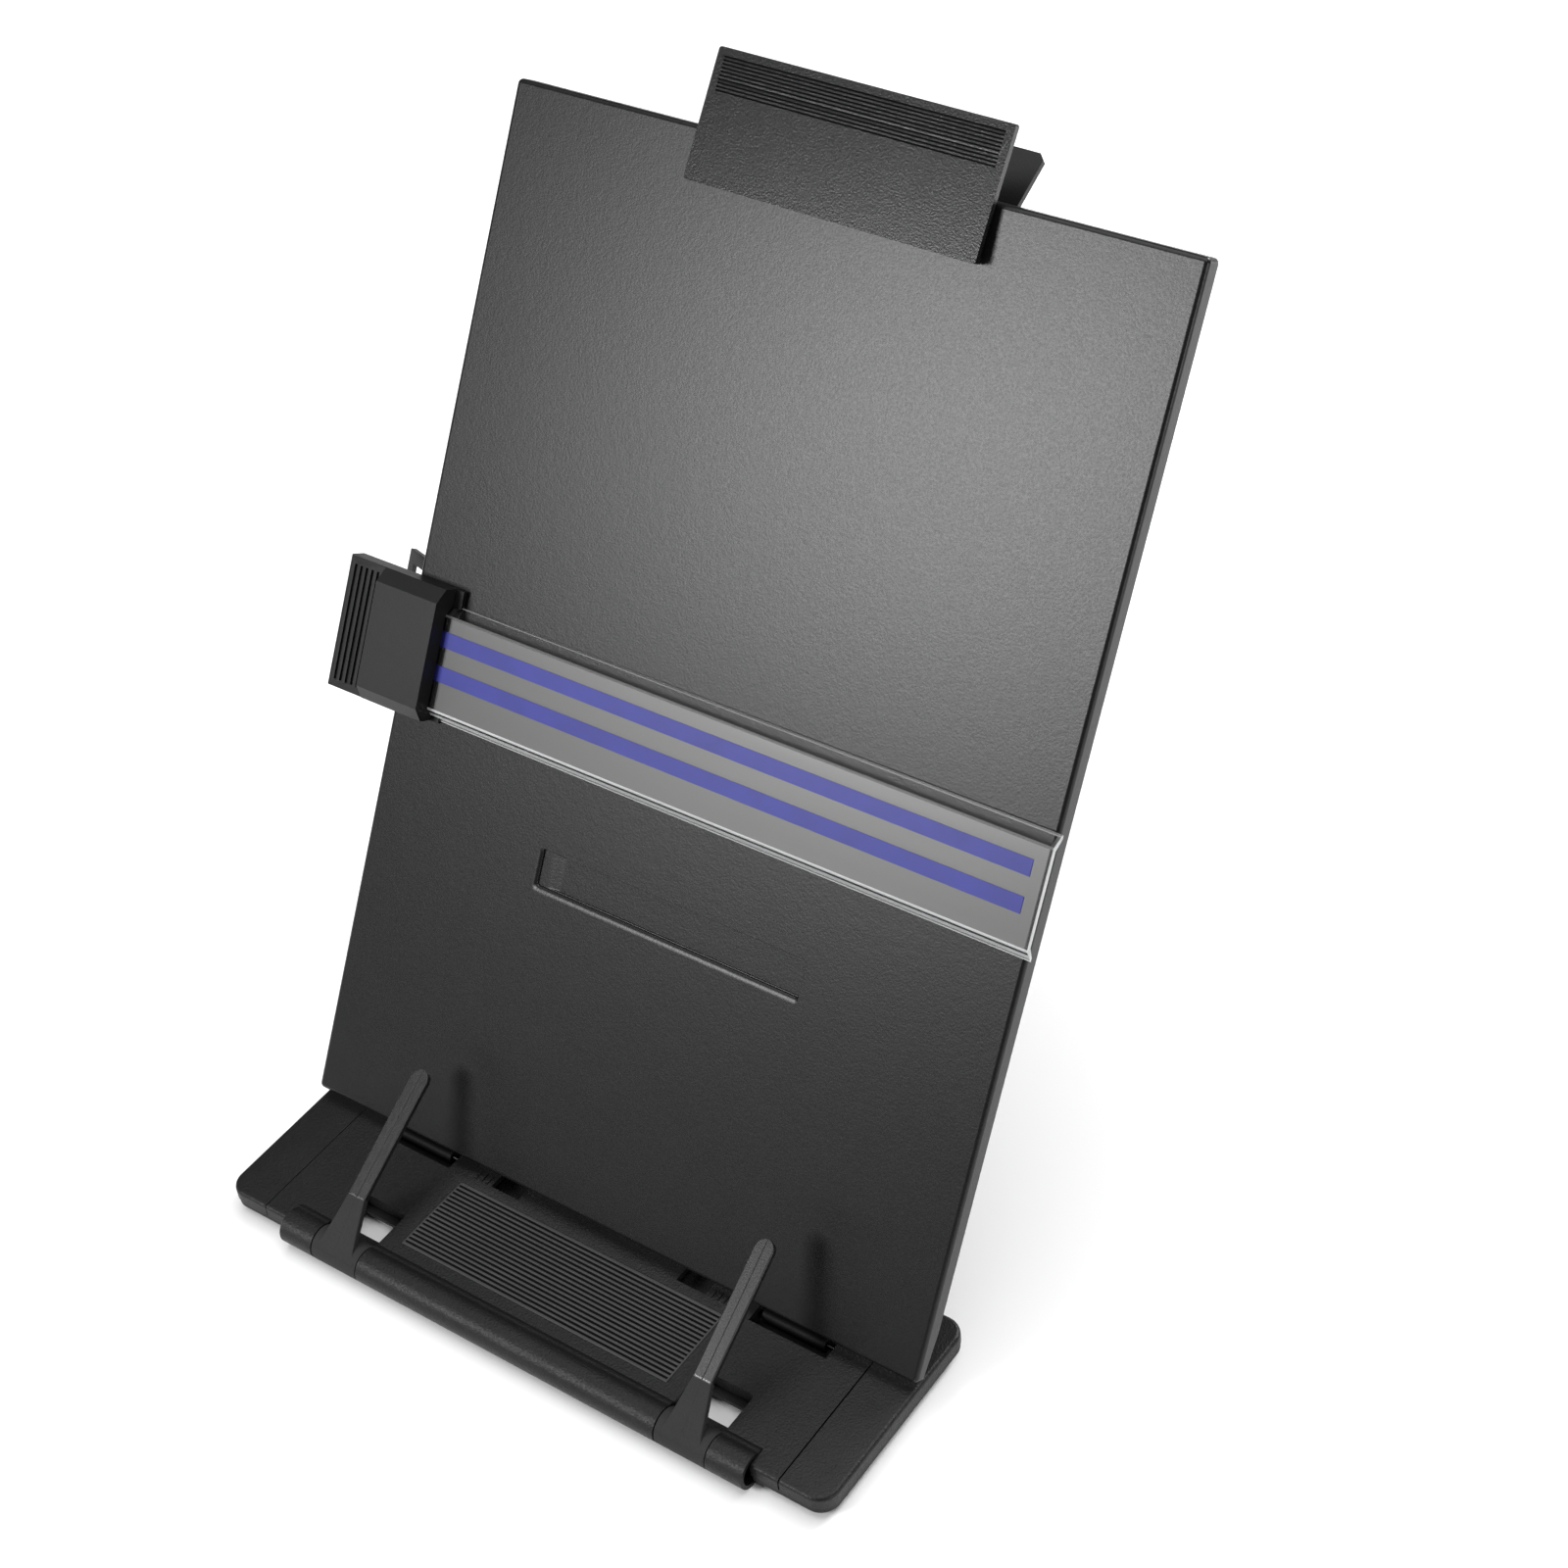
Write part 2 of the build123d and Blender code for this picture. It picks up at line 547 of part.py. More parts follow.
# ---- page fingers -------------------------------------------------------------------------------
def page_finger(side, raise_angle, name):
    """One page finger: a hub on the bar, a foot that tapers to the knee and a narrow arm.

    The foot's outer face is tangent to the hub, and the arm's outer face runs from knee to tip.
    """
    centre_x = side * FINGER_X
    hub_plane = Plane(origin=(centre_x - HUB_WIDTH / 2, BAR_Y, BAR_Z), x_dir=(0, 1, 0), z_dir=(1, 0, 0))
    knee_angle = raise_angle + KNEE_LEAD
    touch_angle = knee_angle + degrees(acos(BAR_RADIUS / KNEE_REACH))

    def on_finger(reach, angle):
        return Vector(centre_x, BAR_Y + reach * cos(radians(angle)), BAR_Z + reach * sin(radians(angle)))

    touch = on_finger(BAR_RADIUS, touch_angle)
    knee = on_finger(KNEE_REACH, knee_angle)
    tip = on_finger(TIP_REACH, raise_angle)
    across = Vector(1, 0, 0)
    foot_face = Plane(origin=touch, x_dir=across, z_dir=across.cross(knee - touch))
    arm_face = Plane(origin=knee, x_dir=across, z_dir=across.cross(tip - knee))
    foot_length = (knee - touch).length
    arm_length = (tip - knee).length
    with BuildPart() as finger:
        with BuildSketch(foot_face):
            with BuildLine():
                Polyline(
                    (-ARM_FOOT_WIDTH / 2, -FOOT_LAP),
                    (ARM_FOOT_WIDTH / 2, -FOOT_LAP),
                    (ARM_WIDTH / 2, foot_length),
                    (-ARM_WIDTH / 2, foot_length),
                    close=True,
                )
            make_face()
        extrude(amount=-ARM_THICKNESS)
        with BuildSketch(arm_face):
            with Locations((0, arm_length / 2 - ARM_WIDTH / 4)):
                Rectangle(ARM_WIDTH, arm_length - ARM_WIDTH / 2)
            with Locations((0, arm_length - ARM_WIDTH / 2)):
                Circle(ARM_WIDTH / 2)
        extrude(amount=-ARM_THICKNESS)
        # Stiffening rib under the knee
        with BuildSketch(Plane(origin=(centre_x - FINGER_RIB / 2, 0, 0), x_dir=(0, 1, 0), z_dir=(1, 0, 0))):
            with BuildLine():
                rib_end = on_finger(KNEE_REACH + RIB_REACH, knee_angle - RIB_DROP)
                rib_foot = on_finger(BAR_RADIUS - 1, knee_angle - RIB_FOOT_ANGLE)
                Polyline(
                    (touch.Y, touch.Z),
                    (knee.Y, knee.Z - ARM_THICKNESS),
                    (rib_end.Y, rib_end.Z - ARM_THICKNESS),
                    (rib_foot.Y, rib_foot.Z),
                    close=True,
                )
            make_face()
        extrude(amount=FINGER_RIB)
        with BuildSketch(hub_plane):
            Circle(BAR_RADIUS)
        extrude(amount=HUB_WIDTH)
        with BuildSketch(hub_plane):
            Circle(AXLE_RADIUS + AXLE_CLEARANCE)
        extrude(amount=HUB_WIDTH, mode=Mode.SUBTRACT)
        with BuildSketch(hub_plane, hub_plane.offset(HUB_WIDTH - WASHER_POCKET)):
            Circle(WASHER_RADIUS)
        extrude(amount=WASHER_POCKET, mode=Mode.SUBTRACT)
    finish(finger, name)


page_finger(-1, LEFT_FINGER_RAISE, "page_finger_left")
page_finger(1, RIGHT_FINGER_RAISE, "page_finger_right")

# ---- panel --------------------------------------------------------------------------------------
with BuildPart() as back_panel:
    with BuildSketch(PANEL_FACE):
        with Locations((0, PANEL_HEIGHT / 2)):
            RectangleRounded(PANEL_WIDTH, PANEL_HEIGHT, BEND)
    extrude(amount=-FLANGE)
    front_face = back_panel.faces().sort_by(Axis(PANEL_FACE.origin, PANEL_FACE.z_dir))[-1]
    fillet(front_face.edges(), BEND - 0.2)
    # Back of the recess, pressed through the sheet
    with BuildSketch(PANEL_FACE.offset(-SHEET)):
        with Locations((0, PANEL_HEIGHT / 2)):
            RectangleRounded(PANEL_WIDTH - 2 * SHEET, PANEL_HEIGHT - 2 * SHEET, BEND - SHEET)
    extrude(amount=-FLANGE, mode=Mode.SUBTRACT)
    recess_up = (RECESS_LOW + RECESS_HIGH) / 2
    recess_tall = RECESS_HIGH - RECESS_LOW
    with BuildSketch(PANEL_FACE.offset(-SHEET)):
        with Locations((0, recess_up)):
            RectangleRounded(RECESS_WIDTH + 2 * SHEET, recess_tall + 2 * SHEET, 2 + SHEET)
    extrude(amount=-RECESS_DEPTH)
    with BuildSketch(PANEL_FACE):
        with Locations((0, recess_up)):
            RectangleRounded(RECESS_WIDTH, recess_tall, 2)
    extrude(amount=-RECESS_DEPTH, mode=Mode.SUBTRACT)
    # The foot flange is shallower, and the side flanges' lower ends are cut at a slant
    with BuildSketch(PANEL_SIDE):
        with BuildLine():
            Polyline(
                (-1, -FOOT_FLANGE),
                (FLANGE_SLOPE * FOOT_FLANGE / FLANGE, -FOOT_FLANGE),
                (FLANGE_SLOPE, -FLANGE),
                (FLANGE_SLOPE, -FLANGE - 1),
                (-1, -FLANGE - 1),
                close=True,
            )
        make_face()
    extrude(amount=PANEL_WIDTH, both=True, mode=Mode.SUBTRACT)
    # Weld studs for the prop's bracket
    with BuildSketch(PANEL_FACE.offset(-SHEET)):
        with Locations((0, PROP_PIVOT_UP)):
            with GridLocations(*STUD_GRID, 2, 2):
                Circle(STUD_RADIUS)
    extrude(amount=-STUD_LENGTH)
finish(back_panel, "back_panel")

for side, name in ((-1, "hinge_lug_left"), (1, "hinge_lug_right")):
    # Both lugs stand nearer the left end of their slot, so a pin's end shows at the right.
    lug_start = min(side * SLOT_IN, side * SLOT_OUT) + LUG_LEFT_GAP
    lug_width = SLOT_WIDTH - LUG_LEFT_GAP - LUG_RIGHT_GAP
    with BuildPart() as hinge_lug:
        with BuildSketch(PANEL_SIDE.offset(lug_start)):
            with BuildLine():
                Polyline(
                    (HINGE_UP, HINGE_OFF),
                    (HINGE_UP + LUG_STRAIGHT, HINGE_OFF),
                    (HINGE_UP + LUG_BEND, -SHEET - LUG_THICKNESS / 2),
                    (HINGE_UP + LUG_REACH, -SHEET - LUG_THICKNESS / 2),
                )
            trace(line_width=LUG_THICKNESS)
            with Locations((HINGE_UP, HINGE_OFF)):
                Circle(EYE_RADIUS)
                Circle(PIN_RADIUS + PIN_CLEARANCE, mode=Mode.SUBTRACT)
        extrude(amount=lug_width)
    finish(hinge_lug, name)

# Seven notches, one for each tilt, face the pawl in turn.
MIDDLE_NOTCH = PANEL_TILT - PAWL_ANGLE


def on_sector(reach, back_angle):
    """A point of the ratchet sector, by its reach and its angle behind the panel's upward line."""
    return (
        HINGE_UP + reach * cos(radians(back_angle)),
        HINGE_OFF - reach * sin(radians(back_angle)),
    )


for side, name in ((-1, "ratchet_sector_left"), (1, "ratchet_sector_right")):
    middle_x = side * (OPENING_IN + OPENING_OUT) / 2
    with BuildPart() as ratchet_sector:
        with BuildSketch(PANEL_SIDE.offset(middle_x - SECTOR_THICKNESS / 2)):
            with BuildLine():
                Polyline(
                    on_sector(SECTOR_RADIUS, 18),
                    (HINGE_UP + 34, -SHEET),
                    (HINGE_UP + 12.5, -SHEET),
                    (HINGE_UP + 7, HINGE_OFF),
                    on_sector(7, 53),
                    on_sector(SECTOR_RADIUS, 53),
                )
                ThreePointArc(
                    on_sector(SECTOR_RADIUS, 53), on_sector(SECTOR_RADIUS, 35), on_sector(SECTOR_RADIUS, 18)
                )
            make_face()
            for step in range(-3, 4):
                notch = MIDDLE_NOTCH + step * TOOTH_STEP
                with BuildLine():
                    Polyline(
                        on_sector(SECTOR_RADIUS - TOOTH_DEPTH, notch),
                        on_sector(SECTOR_RADIUS + 0.5, notch - TOOTH_STEP / 2),
                        on_sector(SECTOR_RADIUS + 0.5, notch + 0.4),
                        close=True,
                    )
                make_face(mode=Mode.SUBTRACT)
        extrude(amount=SECTOR_THICKNESS)
        with BuildSketch(PANEL_SIDE.offset(middle_x - SECTOR_THICKNESS / 2)):
            with Locations((HINGE_UP + 24, -SHEET - 0.6)):
                Rectangle(20, 1.2)
        extrude(amount=9)
    finish(ratchet_sector, name)


def on_base(reach, up_angle):
    """A point of the hinge's side view, by its reach and its angle above the horizontal."""
    return (PIN_Y + reach * cos(radians(up_angle)), PIN_Z + reach * sin(radians(up_angle)))


for side, name in ((-1, "ratchet_pawl_left"), (1, "ratchet_pawl_right")):
    with BuildPart() as ratchet_pawl:
        pawl_x = side * (OPENING_IN + OPENING_OUT) / 2
        with BuildSketch(Plane.YZ.offset(pawl_x - PAWL_WIDTH / 2)):
            with BuildLine():
                Polyline(
                    on_base(SECTOR_RADIUS + PAWL_GAP, PAWL_ANGLE),
                    (PIN_Y + 16.4, PIN_Z + 3),
                    (PIN_Y + 16.4, FLOOR_TOP),
                    (PIN_Y + 19.6, FLOOR_TOP),
                    (PIN_Y + 19.2, PIN_Z + 5),
                    (PIN_Y + 16.6, PIN_Z + 8.4),
                    close=True,
                )
            make_face()
        extrude(amount=PAWL_WIDTH)
    finish(ratchet_pawl, name)

# ---- prop ---------------------------------------------------------------------------------------
PROP_PIVOT = PANEL_FACE.from_local_coords(Vector(0, PROP_PIVOT_UP, PROP_PIVOT_OFF))
PROP_DROP = PROP_PIVOT.Z - SHOE_RADIUS
PROP_DOWN = Vector(0, (PROP_LENGTH**2 - PROP_DROP**2) ** 0.5, -PROP_DROP).normalized()
PROP_FACE = Plane(origin=PROP_PIVOT, x_dir=(1, 0, 0), z_dir=Vector(1, 0, 0).cross(PROP_DOWN))
PROP_SIDE = side_of(PROP_FACE)

with BuildPart() as prop_bracket:
    with BuildSketch(PANEL_FACE.offset(-SHEET)):
        with Locations((0, PROP_PIVOT_UP)):
            RectangleRounded(2 * (BRACKET_HALF + BRACKET_WING), BRACKET_HEIGHT, BRACKET_CORNER)
            with GridLocations(*STUD_GRID, 2, 2):
                Circle(STUD_RADIUS + 0.1, mode=Mode.SUBTRACT)
    extrude(amount=-BRACKET_SHEET)
    for start in (-BRACKET_HALF, BRACKET_HALF - BRACKET_SHEET):
        with BuildSketch(PANEL_SIDE.offset(start)):
            with Locations((PROP_PIVOT_UP, PROP_PIVOT_OFF - 0.4)):
                Circle(BRACKET_EAR_RADIUS)
            with Locations((PROP_PIVOT_UP, -SHEET - 3)):
                Rectangle(BRACKET_CHEEK, 4)
            with Locations((PROP_PIVOT_UP, PROP_PIVOT_OFF)):
                Circle(PROP_PIN_RADIUS, mode=Mode.SUBTRACT)
        extrude(amount=BRACKET_SHEET)
finish(prop_bracket, "prop_bracket")

with BuildPart() as bracket_nuts:
    with BuildSketch(PANEL_FACE.offset(-SHEET - BRACKET_SHEET)):
        with Locations((0, PROP_PIVOT_UP)):
            with GridLocations(*STUD_GRID, 2, 2):
                RegularPolygon(NUT_RADIUS, 6)
                Circle(STUD_RADIUS, mode=Mode.SUBTRACT)
    extrude(amount=-NUT_HEIGHT)
finish(bracket_nuts, "bracket_nuts")

with BuildPart() as prop_pin:
    with BuildSketch(PANEL_SIDE.offset(-BRACKET_HALF - 1.2)):
        with Locations((PROP_PIVOT_UP, PROP_PIVOT_OFF)):
            Circle(PROP_PIN_RADIUS + 1)
    extrude(amount=1.2)
    with BuildSketch(PANEL_SIDE.offset(-BRACKET_HALF)):
        with Locations((PROP_PIVOT_UP, PROP_PIVOT_OFF)):
            Circle(PROP_PIN_RADIUS)
    extrude(amount=2 * BRACKET_HALF + 1.5)
finish(prop_pin, "prop_pin")

with BuildPart() as prop_leg:
    flange_start = KNUCKLE_RADIUS + 1
    flange_end = PROP_LENGTH - PROP_FLANGE_SHORT
    sheet_end = PROP_LENGTH - PROP_SHEET_SHORT
    back = KNUCKLE_RADIUS
    with BuildSketch(PROP_FACE.offset(back)):
        with BuildLine():
            Polyline(
                (-PROP_TOP_HALF, 0),
                (PROP_TOP_HALF, 0),
                (PROP_FOOT_HALF, flange_end),
                (PROP_FOOT_HALF, sheet_end),
                (-PROP_FOOT_HALF, sheet_end),
                (-PROP_FOOT_HALF, flange_end),
                close=True,
            )
        make_face()
    extrude(amount=-PROP_FLANGE)
    fillet(
        prop_leg.faces().sort_by(Axis(PROP_FACE.origin, PROP_FACE.z_dir))[-1].edges()
        .filter_by(lambda edge: abs(edge.tangent_at(0).X) < 0.9), 1.2
    )
    # Open channel between the side flanges, which stop short of the pivot and of the shoe
    with BuildSketch(PROP_FACE.offset(back - PROP_SHEET)):
        with BuildLine():
            Polyline(
                (-PROP_TOP_HALF + PROP_SHEET, -1),
                (PROP_TOP_HALF - PROP_SHEET, -1),
                (PROP_FOOT_HALF - PROP_SHEET, flange_end),
                (PROP_FOOT_HALF - PROP_SHEET, PROP_LENGTH),
                (-PROP_FOOT_HALF + PROP_SHEET, PROP_LENGTH),
                (-PROP_FOOT_HALF + PROP_SHEET, flange_end),
                close=True,
            )
        make_face()
    extrude(amount=-2 * PROP_FLANGE, mode=Mode.SUBTRACT)
    with BuildSketch(PROP_FACE.offset(back - PROP_SHEET)):
        with Locations((0, flange_start / 2 - 1)):
            Rectangle(4 * PROP_FOOT_HALF, flange_start + 2)
        with Locations((0, (flange_end + PROP_LENGTH) / 2)):
            Rectangle(4 * PROP_FOOT_HALF, PROP_LENGTH - flange_end)
    extrude(amount=-2 * PROP_FLANGE, mode=Mode.SUBTRACT)
    # Tapered cut-out, then the knuckle round the pin
    cut_start = PROP_LENGTH * CUT_OUT_START
    cut_end = PROP_LENGTH * CUT_OUT_END
    widening = (PROP_FOOT_HALF - PROP_TOP_HALF) / flange_end
    cut_half_top = PROP_TOP_HALF + widening * cut_start - CUT_OUT_WEB
    cut_half_foot = PROP_TOP_HALF + widening * cut_end - CUT_OUT_WEB
    with BuildSketch(PROP_FACE.offset(back)) as cut_out:
        with BuildLine():
            for side in (-1, 1):
                Line((side * cut_half_top, cut_start), (side * cut_half_foot, cut_end))
            Line((-cut_half_top, cut_start), (cut_half_top, cut_start))
            Line((-cut_half_foot, cut_end), (cut_half_foot, cut_end))
        make_face()
        fillet(cut_out.vertices(), CUT_OUT_CORNER)
    extrude(amount=-2 * PROP_SHEET, mode=Mode.SUBTRACT)
    with BuildSketch(PROP_SIDE.offset(-PROP_TOP_HALF)):
        Circle(KNUCKLE_RADIUS)
    extrude(amount=2 * PROP_TOP_HALF)
    with BuildSketch(PROP_SIDE):
        Circle(PROP_PIN_RADIUS + PIN_CLEARANCE)
    extrude(amount=2 * PROP_TOP_HALF, both=True, mode=Mode.SUBTRACT)
finish(prop_leg, "prop_leg")

with BuildPart() as prop_shoe:
    with BuildSketch(PROP_SIDE.offset(-SHOE_HALF)):
        with Locations((PROP_LENGTH, 0)):
            Circle(SHOE_RADIUS)
        with Locations((PROP_LENGTH - SHOE_TAIL / 2, 0)):
            Rectangle(SHOE_TAIL, 2 * SHOE_RADIUS)
    extrude(amount=2 * SHOE_HALF)
    with BuildSketch(PROP_FACE.offset(back)):
        with Locations((0, sheet_end - SHOE_TAIL)):
            Rectangle(2 * PROP_FOOT_HALF, 2 * SHOE_TAIL)
    extrude(amount=-PROP_SHEET, mode=Mode.SUBTRACT)
finish(prop_shoe, "prop_shoe")

# ---- top clip -----------------------------------------------------------------------------------
CLIP_FACE = Plane(PANEL_FACE.location * Location((CLIP_X, CLIP_PIN_UP, 0), (0, 0, -CLIP_TURN)))
CLIP_SIDE = side_of(CLIP_FACE)
LOW = -CLIP_GRASP - CLIP_PIN_RISE
HIGH = CLIP_RISE - CLIP_PIN_RISE
BACK_HIGH = CLIP_BACK_RISE - CLIP_PIN_RISE

with BuildPart() as clip_front_lever:
    with BuildSketch(CLIP_SIDE.offset(-CLIP_WIDTH / 2)):
        with BuildLine():
            Polyline(
                (LOW, CLIP_OFF_LOW),
                (HIGH, CLIP_OFF_HIGH),
                (HIGH, CLIP_OFF_HIGH - CLIP_PLATE),
                (LOW + 2.6, CLIP_OFF_LOW - CLIP_PLATE),
                (LOW + 2.2, JAW_GAP + PAD),
                (LOW, JAW_GAP + PAD),
                close=True,
            )
        make_face()
    extrude(amount=CLIP_WIDTH)
    corners = clip_front_lever.edges().filter_by(lambda edge: abs(edge.tangent_at(0).X) < 0.1)
    fillet(corners.filter_by(lambda edge: edge.length < CLIP_OFF_LOW), CLIP_CORNER)
    for start in (-CLIP_EAR_X - EAR_WIDTH / 2, CLIP_EAR_X - EAR_WIDTH / 2):
        with BuildSketch(CLIP_SIDE.offset(start)):
            with Locations((0, CLIP_PIN_OFF)):
                Circle(EAR_RADIUS)
            with Locations((0, CLIP_PIN_OFF / 2 + 0.4)):
                Rectangle(2 * EAR_RADIUS, -CLIP_PIN_OFF + 0.8)
            with Locations((0, CLIP_PIN_OFF)):
                Circle(CLIP_PIN_RADIUS + PIN_CLEARANCE, mode=Mode.SUBTRACT)
        extrude(amount=EAR_WIDTH)
    # Grip grooves
    grip_tilt = degrees(atan2(CLIP_OFF_HIGH - CLIP_OFF_LOW, HIGH - LOW))
    grip_face = Plane(
        CLIP_FACE.location * Location((0, HIGH, CLIP_OFF_HIGH), (grip_tilt, 0, 0))
    )
    with BuildSketch(grip_face):
        with Locations((0, -CLIP_GROOVE_TOP - CLIP_GROOVE_PITCH * (CLIP_GROOVES - 1) / 2)):
            with GridLocations(0, CLIP_GROOVE_PITCH, 1, CLIP_GROOVES):
                Rectangle(CLIP_WIDTH - 2 * CLIP_GROOVE_INSET, CLIP_GROOVE_PITCH / 2)
    extrude(amount=CLIP_GROOVE_DEPTH, both=True, mode=Mode.SUBTRACT)
finish(clip_front_lever, "clip_front_lever")

with BuildPart() as clip_front_pad:
    with BuildSketch(CLIP_SIDE.offset(-CLIP_WIDTH / 2 + JAW_SHORT)):
        with Locations((LOW + JAW_INSET, JAW_GAP + PAD / 2)):
            Rectangle(JAW_WIDTH, PAD)
    extrude(amount=CLIP_WIDTH - 2 * JAW_SHORT)
finish(clip_front_pad, "clip_front_pad")

with BuildPart() as clip_back_lever:
    back_jaw = -SHEET - JAW_GAP - PAD
    with BuildSketch(CLIP_SIDE.offset(-CLIP_WIDTH / 2)):
        with BuildLine():
            Polyline(
                (LOW + JAW_INSET, back_jaw),
                (LOW + JAW_INSET, CLIP_BEND[1] + 0.4),
                CLIP_BEND,
                (BACK_HIGH, CLIP_BACK_OFF),
            )
        trace(line_width=CLIP_BACK_SHEET)
    extrude(amount=CLIP_WIDTH)
    top_face = clip_back_lever.faces().sort_by(Axis(CLIP_FACE.origin, CLIP_FACE.y_dir))[-1]
    chamfer(top_face.edges().filter_by(lambda edge: edge.length < 3), CLIP_BACK_CHAMFER)
    for side in (-1, 1):
        ear_start = side * (CLIP_EAR_X - EAR_WIDTH / 2 - SIDE_GAP)
        with BuildSketch(CLIP_SIDE.offset(ear_start)):
            with Locations((0, CLIP_PIN_OFF)):
                Circle(EAR_RADIUS)
            with BuildLine():
                Polyline(
                    (-EAR_RADIUS, CLIP_PIN_OFF),
                    (EAR_RADIUS, CLIP_PIN_OFF),
                    (6, -18.2),
                    (-8, -10.6),
                    close=True,
                )
            make_face()
            with Locations((0, CLIP_PIN_OFF)):
                Circle(CLIP_PIN_RADIUS, mode=Mode.SUBTRACT)
        extrude(amount=-side * EAR_WIDTH)
finish(clip_back_lever, "clip_back_lever")

with BuildPart() as clip_back_pad:
    with BuildSketch(CLIP_SIDE.offset(-CLIP_WIDTH / 2 + JAW_SHORT)):
        with Locations((LOW + JAW_INSET, back_jaw + PAD / 2)):
            Rectangle(JAW_WIDTH, PAD)
    extrude(amount=CLIP_WIDTH - 2 * JAW_SHORT)
finish(clip_back_pad, "clip_back_pad")

with BuildPart() as clip_pin:
    with BuildSketch(CLIP_SIDE.offset(-CLIP_EAR_X - EAR_WIDTH)):
        with Locations((0, CLIP_PIN_OFF)):
            Circle(CLIP_PIN_RADIUS)
    extrude(amount=2 * CLIP_EAR_X + 2 * EAR_WIDTH)
    chamfer(clip_pin.edges().filter_by(GeomType.CIRCLE), 0.3)
finish(clip_pin, "clip_pin")

# ---- line guide ---------------------------------------------------------------------------------
GUIDE_FACE = Plane(PANEL_FACE.location * Location((0, GUIDE_UP, 0)))
GUIDE_SIDE = side_of(GUIDE_FACE)
GUIDE_CROSS = cross_of(GUIDE_FACE)
STRIP_MIDDLE = -STRIP_DROP


def strip_outline(shrink):
    """The clear strip's section: a flat front with two flanges that slant outwards to the back."""
    Polyline(
        (STRIP_MIDDLE - STRIP_HALF + shrink, STRIP_BACK_OFF),
        (STRIP_MIDDLE - STRIP_FACE_HALF + shrink * 0.7, STRIP_OFF - shrink),
        (STRIP_MIDDLE + STRIP_FACE_HALF - shrink * 0.7, STRIP_OFF - shrink),
        (STRIP_MIDDLE + STRIP_HALF - shrink, STRIP_BACK_OFF),
        close=True,
    )


with BuildPart() as guide_front_lever:
    with BuildSketch(GUIDE_CROSS.offset(-GUIDE_HALF)):
        with Locations(((GUIDE_LEFT + GUIDE_RIGHT) / 2, (GRIP_OFF + BACK_EDGE) / 2)):
            Rectangle(GUIDE_RIGHT - GUIDE_LEFT, GRIP_OFF - BACK_EDGE)
    extrude(amount=2 * GUIDE_HALF)
    with BuildSketch(GUIDE_SIDE.offset(GUIDE_STEP)):
        with BuildLine():
            Polyline(
                (-GUIDE_HALF, BACK_EDGE),
                (-GUIDE_HALF, BLOCK_OFF - BLOCK_DROP),
                (-GUIDE_HALF + BLOCK_BEVEL, BLOCK_OFF),
                (GUIDE_HALF - BLOCK_BEVEL, BLOCK_OFF),
                (GUIDE_HALF, BLOCK_OFF - BLOCK_DROP),
                (GUIDE_HALF, BACK_EDGE),
                close=True,
            )
        make_face()
    extrude(amount=GUIDE_RIGHT - GUIDE_STEP)
    left_edges = guide_front_lever.edges().filter_by(lambda edge: abs(edge.center().X - GUIDE_LEFT) < 0.01)
    fillet(left_edges.sort_by(Axis(GUIDE_FACE.origin, GUIDE_FACE.z_dir))[-1], GRIP_ROUND)
    # The lever is a moulding with even walls, open towards the panel
    with BuildSketch(GUIDE_CROSS.offset(-GUIDE_HALF + GUIDE_WALL)):
        with BuildLine():
            Polyline(
                (GUIDE_LEFT + GUIDE_WALL, BACK_EDGE - 1),
                (GUIDE_LEFT + GUIDE_WALL, GRIP_OFF - GUIDE_WALL),
                (GUIDE_STEP + GUIDE_WALL, GRIP_OFF - GUIDE_WALL),
                (GUIDE_STEP + GUIDE_WALL, BLOCK_OFF - BLOCK_DROP - GUIDE_WALL),
                (GUIDE_RIGHT - GUIDE_WALL, BLOCK_OFF - BLOCK_DROP - GUIDE_WALL),
                (GUIDE_RIGHT - GUIDE_WALL, BACK_EDGE - 1),
                close=True,
            )
        make_face()
    extrude(amount=2 * (GUIDE_HALF - GUIDE_WALL), mode=Mode.SUBTRACT)
    # Ears on the pin
    for start in (-GUIDE_EAR_UP - EAR_WIDTH / 2, GUIDE_EAR_UP - EAR_WIDTH / 2):
        with BuildSketch(GUIDE_CROSS.offset(-start)):
            with Locations((GUIDE_PIN_X, GUIDE_PIN_OFF)):
                Circle(EAR_RADIUS)
            with Locations((GUIDE_PIN_X, (GUIDE_PIN_OFF + GRIP_OFF - 1) / 2)):
                Rectangle(2 * EAR_RADIUS, GRIP_OFF - 1 - GUIDE_PIN_OFF)
            with Locations((GUIDE_PIN_X, GUIDE_PIN_OFF)):
                Circle(GUIDE_PIN_RADIUS + PIN_CLEARANCE, mode=Mode.SUBTRACT)
        extrude(amount=-EAR_WIDTH)
    # Grip grooves, then the opening that takes the strip
    with BuildSketch(GUIDE_FACE.offset(GRIP_OFF)):
        for groove in range(GRIP_GROOVES):
            with Locations((GUIDE_LEFT + GRIP_GROOVE_START + groove * GRIP_GROOVE_PITCH, 0)):
                Rectangle(GRIP_GROOVE_WIDTH, 2 * (GUIDE_HALF - GRIP_GROOVE_INSET))
    extrude(amount=-GRIP_GROOVE_DEPTH, mode=Mode.SUBTRACT)
    with BuildSketch(GUIDE_SIDE.offset(STRIP_LEFT - SIDE_GAP)):
        with BuildLine():
            strip_outline(0)
        make_face()
    extrude(amount=GUIDE_RIGHT - STRIP_LEFT + 2 * SIDE_GAP, mode=Mode.SUBTRACT)
finish(guide_front_lever, "guide_front_lever")

